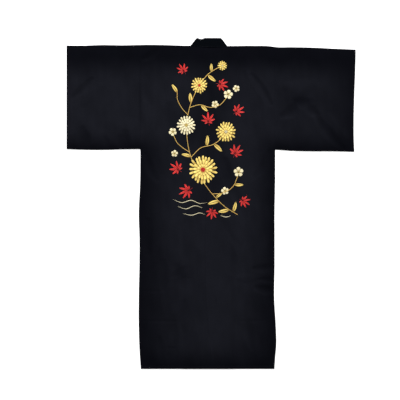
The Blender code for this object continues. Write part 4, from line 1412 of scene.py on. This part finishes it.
def chrysanthemum(name, bloom, thread, heart_thread):
    """Its rings of petals from the outer one in, then the knots of its heart in a spiral outwards."""
    worked = []
    for ring in PETAL_RINGS:
        count = max(bloom.petals - ring.fewer, FEWEST_PETALS)
        wide = ring.fill * 2 * math.pi * bloom.radius * ring.end * PETAL_MEAN / count
        for number in range(count):
            angle = bloom.turn + (number + ring.offset) * 2 * math.pi / count
            angle = angle + worker.uniform(-ANGLE_VARIES, ANGLE_VARIES)
            reach = bloom.radius * ring.end * worker.uniform(*REACH_VARIES)
            shades = np.array(ring.shades) + worker.uniform(-SHADE_VARIES, SHADE_VARIES)
            bend = PETAL_BEND * math.sin(2 * angle + bloom.turn) + worker.uniform(-BEND_VARIES, BEND_VARIES)
            root = bloom.radius * ring.start
            worked.append(petal(bloom, angle, root, reach, wide, bend, ring.lift, shades))
    sewn_on(name, worked, thread)
    knots = []
    for number in range(KNOTS_IN_HEART):
        out = bloom.radius * HEART_SHARE * math.sqrt((number + 0.5) / KNOTS_IN_HEART)
        x, y = around(bloom, out, number * GOLDEN_ANGLE)
        size = bloom.radius * HEART_SHARE / math.sqrt(KNOTS_IN_HEART) * KNOT_SPACE
        knots.append(knot(x, y, HEART_LIFT, size, worker.uniform(*KNOT_SHADES)))
    sewn_on(name + "_heart", knots, heart_thread)


chrysanthemum("large_gold_bloom", LARGE_BLOOM, gold, red)
chrysanthemum("side_gold_bloom", SIDE_BLOOM, gold, cream)
chrysanthemum("top_gold_bloom", TOP_BLOOM, gold, red)
chrysanthemum("end_gold_bloom", END_BLOOM, gold, cream)
chrysanthemum("cream_bloom", PALE_BLOOM, cream, gold)

# The gold leaves along the stems, in silk satin stitch.
# Each is worked in two halves, whose threads slant from a bare vein to the edge.
LEAF_VEIN = 0.0010
LEAF_SLANT = 0.16
LEAF_SHADES = (0.25, 0.55, 0.70)
LEAF_ENDS = (0.02, 0.98)  # of its length, between which it has threads
LEAF_POINTS = 40
LEAF_LEAN = 0.85  # under 1, it is widest nearer to its stalk
LEAF_FULLNESS = 0.8  # under 1, it stays wide for longer
ROOT_SPREAD = 0.1  # of the threads that all start at the stalk
HALVES_APART = 0.10  # in shade, because the two halves catch the light differently
TEETH = 5

Leaf = namedtuple("Leaf", "x y degrees length width bend")
GOLD_LEAVES = (
    Leaf(0.098, -0.037, 66, 0.046, 0.016, 0.30),
    Leaf(0.080, -0.027, -160, 0.050, 0.017, -0.30),
    Leaf(0.036, 0.010, -172, 0.052, 0.018, 0.25),
    Leaf(0.022, 0.026, 42, 0.034, 0.012, -0.25),
    Leaf(-0.089, 0.208, 158, 0.044, 0.015, 0.30),
    Leaf(-0.020, 0.255, 78, 0.048, 0.016, 0.25),
    Leaf(0.012, 0.263, -34, 0.050, 0.017, -0.30),
    Leaf(-0.088, 0.446, 102, 0.046, 0.016, -0.20),
    Leaf(-0.044, 0.438, -52, 0.042, 0.015, 0.25),
    Leaf(-0.014, 0.571, -48, 0.046, 0.016, 0.30),
    Leaf(0.002, 0.586, 96, 0.036, 0.013, -0.20),
    Leaf(-0.150, 0.492, 118, 0.044, 0.015, 0.20),
    Leaf(0.104, 0.084, -8, 0.040, 0.014, 0.25),
)


def leaf_halves(place, angle, length, width, bend, vein, slant, shades, teeth=0.0):
    """A leaf from its stalk: two halves of satin stitch whose threads slant towards its tip."""
    share = np.linspace(*LEAF_ENDS, LEAF_POINTS)
    turned = angle + bend * share
    middle = np.cumsum(together(np.cos(turned), np.sin(turned)) * length / len(share), 0) + place
    swell = np.sin(math.pi * share**LEAF_LEAN) ** LEAF_FULLNESS
    swell = swell * (1 - teeth * (0.5 + 0.5 * np.cos(share * 2 * math.pi * TEETH)))
    away = sideways_of(middle)
    rooted = np.maximum(share - slant, mix(share[0], share, ROOT_SPREAD))
    halves = []
    for way in (-1, 1):
        vein_edge = points_at(rooted, share, middle + away * way * vein / 2)
        rim = middle + away * way * mix(vein / 2, width / 2, swell)[:, None]
        halves.append(satin(vein_edge, rim, np.array(shades) + HALVES_APART * way))
    return halves


worked = []
for leaf in GOLD_LEAVES:
    size = (math.radians(leaf.degrees), leaf.length, leaf.width, leaf.bend)
    worked += leaf_halves((leaf.x, leaf.y), *size, LEAF_VEIN, LEAF_SLANT, LEAF_SHADES)
sewn_on("gold_leaves", worked, gold)

# The maple leaves, in red silk satin stitch: seven toothed lobes that spread from the stalk.
# Each lobe is worked in two halves like a small leaf, and the stalk last.
LOBE_DEGREES = (0, 37, -37, 76, -76, 118, -118)
LOBE_LENGTHS = (1.0, 0.92, 0.92, 0.72, 0.72, 0.42, 0.42)
LOBE_WIDTH = 0.25
LOBE_STARTS = 0.0022  # from the leaf's middle
LOBE_VEIN = 0.0007
LOBE_SLANT = 0.14
LOBE_TEETH = 0.22  # the depth of its teeth, as a share of its half width
LOBE_SHADES = (0.20, 0.60, 0.85)
LOBE_NARROWS = 0.7  # of that width, as a lobe gets shorter
LOBE_VARIES = 0.12  # in shade, and in the radians that it bends by
STALK = 0.45
STALK_TURN = 0.2
STALK_STEP = 0.0008
STALK_HALF_WIDTH = 0.0006
STALK_SHADE = 0.5

MapleLeaf = namedtuple("MapleLeaf", "x y degrees size")
MAPLE_LEAVES = (
    MapleLeaf(-0.146, 0.150, 140, 0.042),
    MapleLeaf(0.106, 0.222, 60, 0.042),
    MapleLeaf(-0.100, 0.058, -160, 0.045),
    MapleLeaf(-0.012, 0.364, 95, 0.041),
    MapleLeaf(0.112, 0.408, 30, 0.038),
    MapleLeaf(-0.122, 0.588, 120, 0.035),
    MapleLeaf(0.040, 0.530, -20, 0.037),
    MapleLeaf(0.006, -0.034, -100, 0.036),
    MapleLeaf(0.140, 0.014, -30, 0.036),
)

worked = []
for leaf in MAPLE_LEAVES:
    facing = math.radians(leaf.degrees)
    for degrees, reach in zip(LOBE_DEGREES, LOBE_LENGTHS):
        angle = facing + math.radians(degrees)
        start = around(leaf, LOBE_STARTS, angle)
        length, wide = leaf.size * reach, leaf.size * LOBE_WIDTH * mix(LOBE_NARROWS, 1, reach)
        shades = np.array(LOBE_SHADES) + worker.uniform(-LOBE_VARIES, LOBE_VARIES)
        bend = worker.uniform(-LOBE_VARIES, LOBE_VARIES)
        worked += leaf_halves(start, angle, length, wide, bend, LOBE_VEIN, LOBE_SLANT, shades, LOBE_TEETH)
    end = around(leaf, leaf.size * STALK, facing + math.pi + STALK_TURN)
    stalk = even_steps([(leaf.x, leaf.y), end], STALK_STEP)
    half = sideways_of(stalk) * STALK_HALF_WIDTH
    worked.append(satin(stalk - half, stalk + half, STALK_SHADE))
sewn_on("maple_leaves", worked, red)

# The plum blossoms, in cream silk: five round petals of satin stitch whose threads run in from the rim.
# The stamens are gold threads laid from the middle out, each with a knot at its end.
Blossom = namedtuple("Blossom", "x y radius degrees")
BLOSSOMS = (
    Blossom(0.122, 0.140, 0.023, 20),
    Blossom(-0.170, 0.318, 0.019, 50),
    Blossom(0.076, 0.484, 0.022, 5),
    Blossom(0.112, 0.510, 0.016, 40),
    Blossom(-0.162, 0.222, 0.016, 10),
    Blossom(0.018, 0.440, 0.017, 65),
    Blossom(0.062, 0.056, 0.018, 30),
)
PETALS = 5
PETAL_SHADE = 0.62
PETAL_SHADE_VARIES = 0.15
PETAL_HALF_ANGLES = (0.50, 0.56)  # radians, at its root and at its rim
PETAL_RIM = 0.60  # of the blossom's radius, at the two corners of its rim
PETAL_RIM_POWER = 2.4
PETAL_ROOT_OUT = 0.15
RIM_POINTS = 26
STAMENS = 10
STAMEN_TURN = 20  # degrees from the first petal
STAMEN_REACH = (0.56, 0.42)  # of the blossom's radius, every other one shorter
STAMEN_RUN = (0.15, 0.95)  # of that reach, where its thread shows
STAMEN_THREAD = 0.00028
STAMEN_HEIGHT = 0.0005
STAMEN_ARCH = 0.0004
STAMEN_POINTS = 5
STAMEN_SHADE = 0.7
STAMEN_SIDES = 5
STAMEN_KNOT = 0.055  # of the blossom's radius
STAMEN_KNOT_LIFT = 0.0008
STAMEN_KNOT_SHADE = 0.8
MIDDLE_KNOT = 0.09
MIDDLE_KNOT_LIFT = 0.0006
MIDDLE_KNOT_SHADE = 0.6

worked, knots = [], []
for blossom in BLOSSOMS:
    for number in range(PETALS):
        centre = math.radians(blossom.degrees) + number * 2 * math.pi / PETALS
        spread = np.linspace(-1, 1, RIM_POINTS)
        root_angle, rim_angle = (centre + spread * half for half in PETAL_HALF_ANGLES)
        rim = mix(PETAL_RIM, 1, np.sqrt(np.clip(1 - np.abs(spread) ** PETAL_RIM_POWER, 0, 1)))
        inner = around(blossom, blossom.radius * PETAL_ROOT_OUT, root_angle)
        outer = around(blossom, blossom.radius * rim, rim_angle)
        varied = worker.uniform(-PETAL_SHADE_VARIES, PETAL_SHADE_VARIES)
        worked.append(satin(inner, outer, PETAL_SHADE + varied))
    size = blossom.radius * MIDDLE_KNOT
    knots.append(knot(blossom.x, blossom.y, MIDDLE_KNOT_LIFT, size, MIDDLE_KNOT_SHADE))
    for number in range(STAMENS):
        angle = math.radians(blossom.degrees + STAMEN_TURN) + number * 2 * math.pi / STAMENS
        end = around(blossom, blossom.radius * STAMEN_REACH[number % 2], angle)
        knots.append(knot(*end, STAMEN_KNOT_LIFT, blossom.radius * STAMEN_KNOT, STAMEN_KNOT_SHADE))
        run = mix(*STAMEN_RUN, np.linspace(0, 1, STAMEN_POINTS)[:, None])
        flat = mix(np.array([blossom.x, blossom.y]), end, run)
        lift = STAMEN_HEIGHT + STAMEN_ARCH * np.sin(math.pi * run[:, 0])
        height = sewing_face(flat[:, 0], flat[:, 1]) + lift
        knots.append(laid_thread(flat, height, STAMEN_THREAD, STAMEN_SIDES, STAMEN_SHADE))
sewn_on("plum_blossoms", worked, cream)
sewn_on("plum_stamens", knots, gold)

# The flowing water under the spray, in cream silk satin stitch.
# Its thin lines swell in the middle and taper to each end.
WATER_WIDTH = 0.0026
WATER_ENDS = 0.3  # of that width
WATER_STEP = 0.0006
WATER_SHADE = 0.7
WATER = (
    (Spot(-0.172, 0.020), Spot(-0.130, 0.004), Spot(-0.088, 0.014), Spot(-0.048, 0.000), Spot(-0.018, 0.004)),
    (Spot(-0.150, -0.012), Spot(-0.112, -0.024), Spot(-0.070, -0.010), Spot(-0.036, -0.020)),
    (Spot(-0.126, -0.044), Spot(-0.086, -0.052), Spot(-0.048, -0.042), Spot(-0.024, -0.050)),
    (Spot(0.040, -0.052), Spot(0.064, -0.060), Spot(0.090, -0.054)),
)

worked = []
for spots in WATER:
    path = spline(spots, WATER_STEP)
    swell = mix(WATER_ENDS, 1, np.sin(math.pi * np.linspace(0, 1, len(path))))
    half = sideways_of(path) * (WATER_WIDTH / 2 * swell)[:, None]
    worked.append(satin(path - half, path + half, WATER_SHADE))
sewn_on("water_lines", worked, cream)
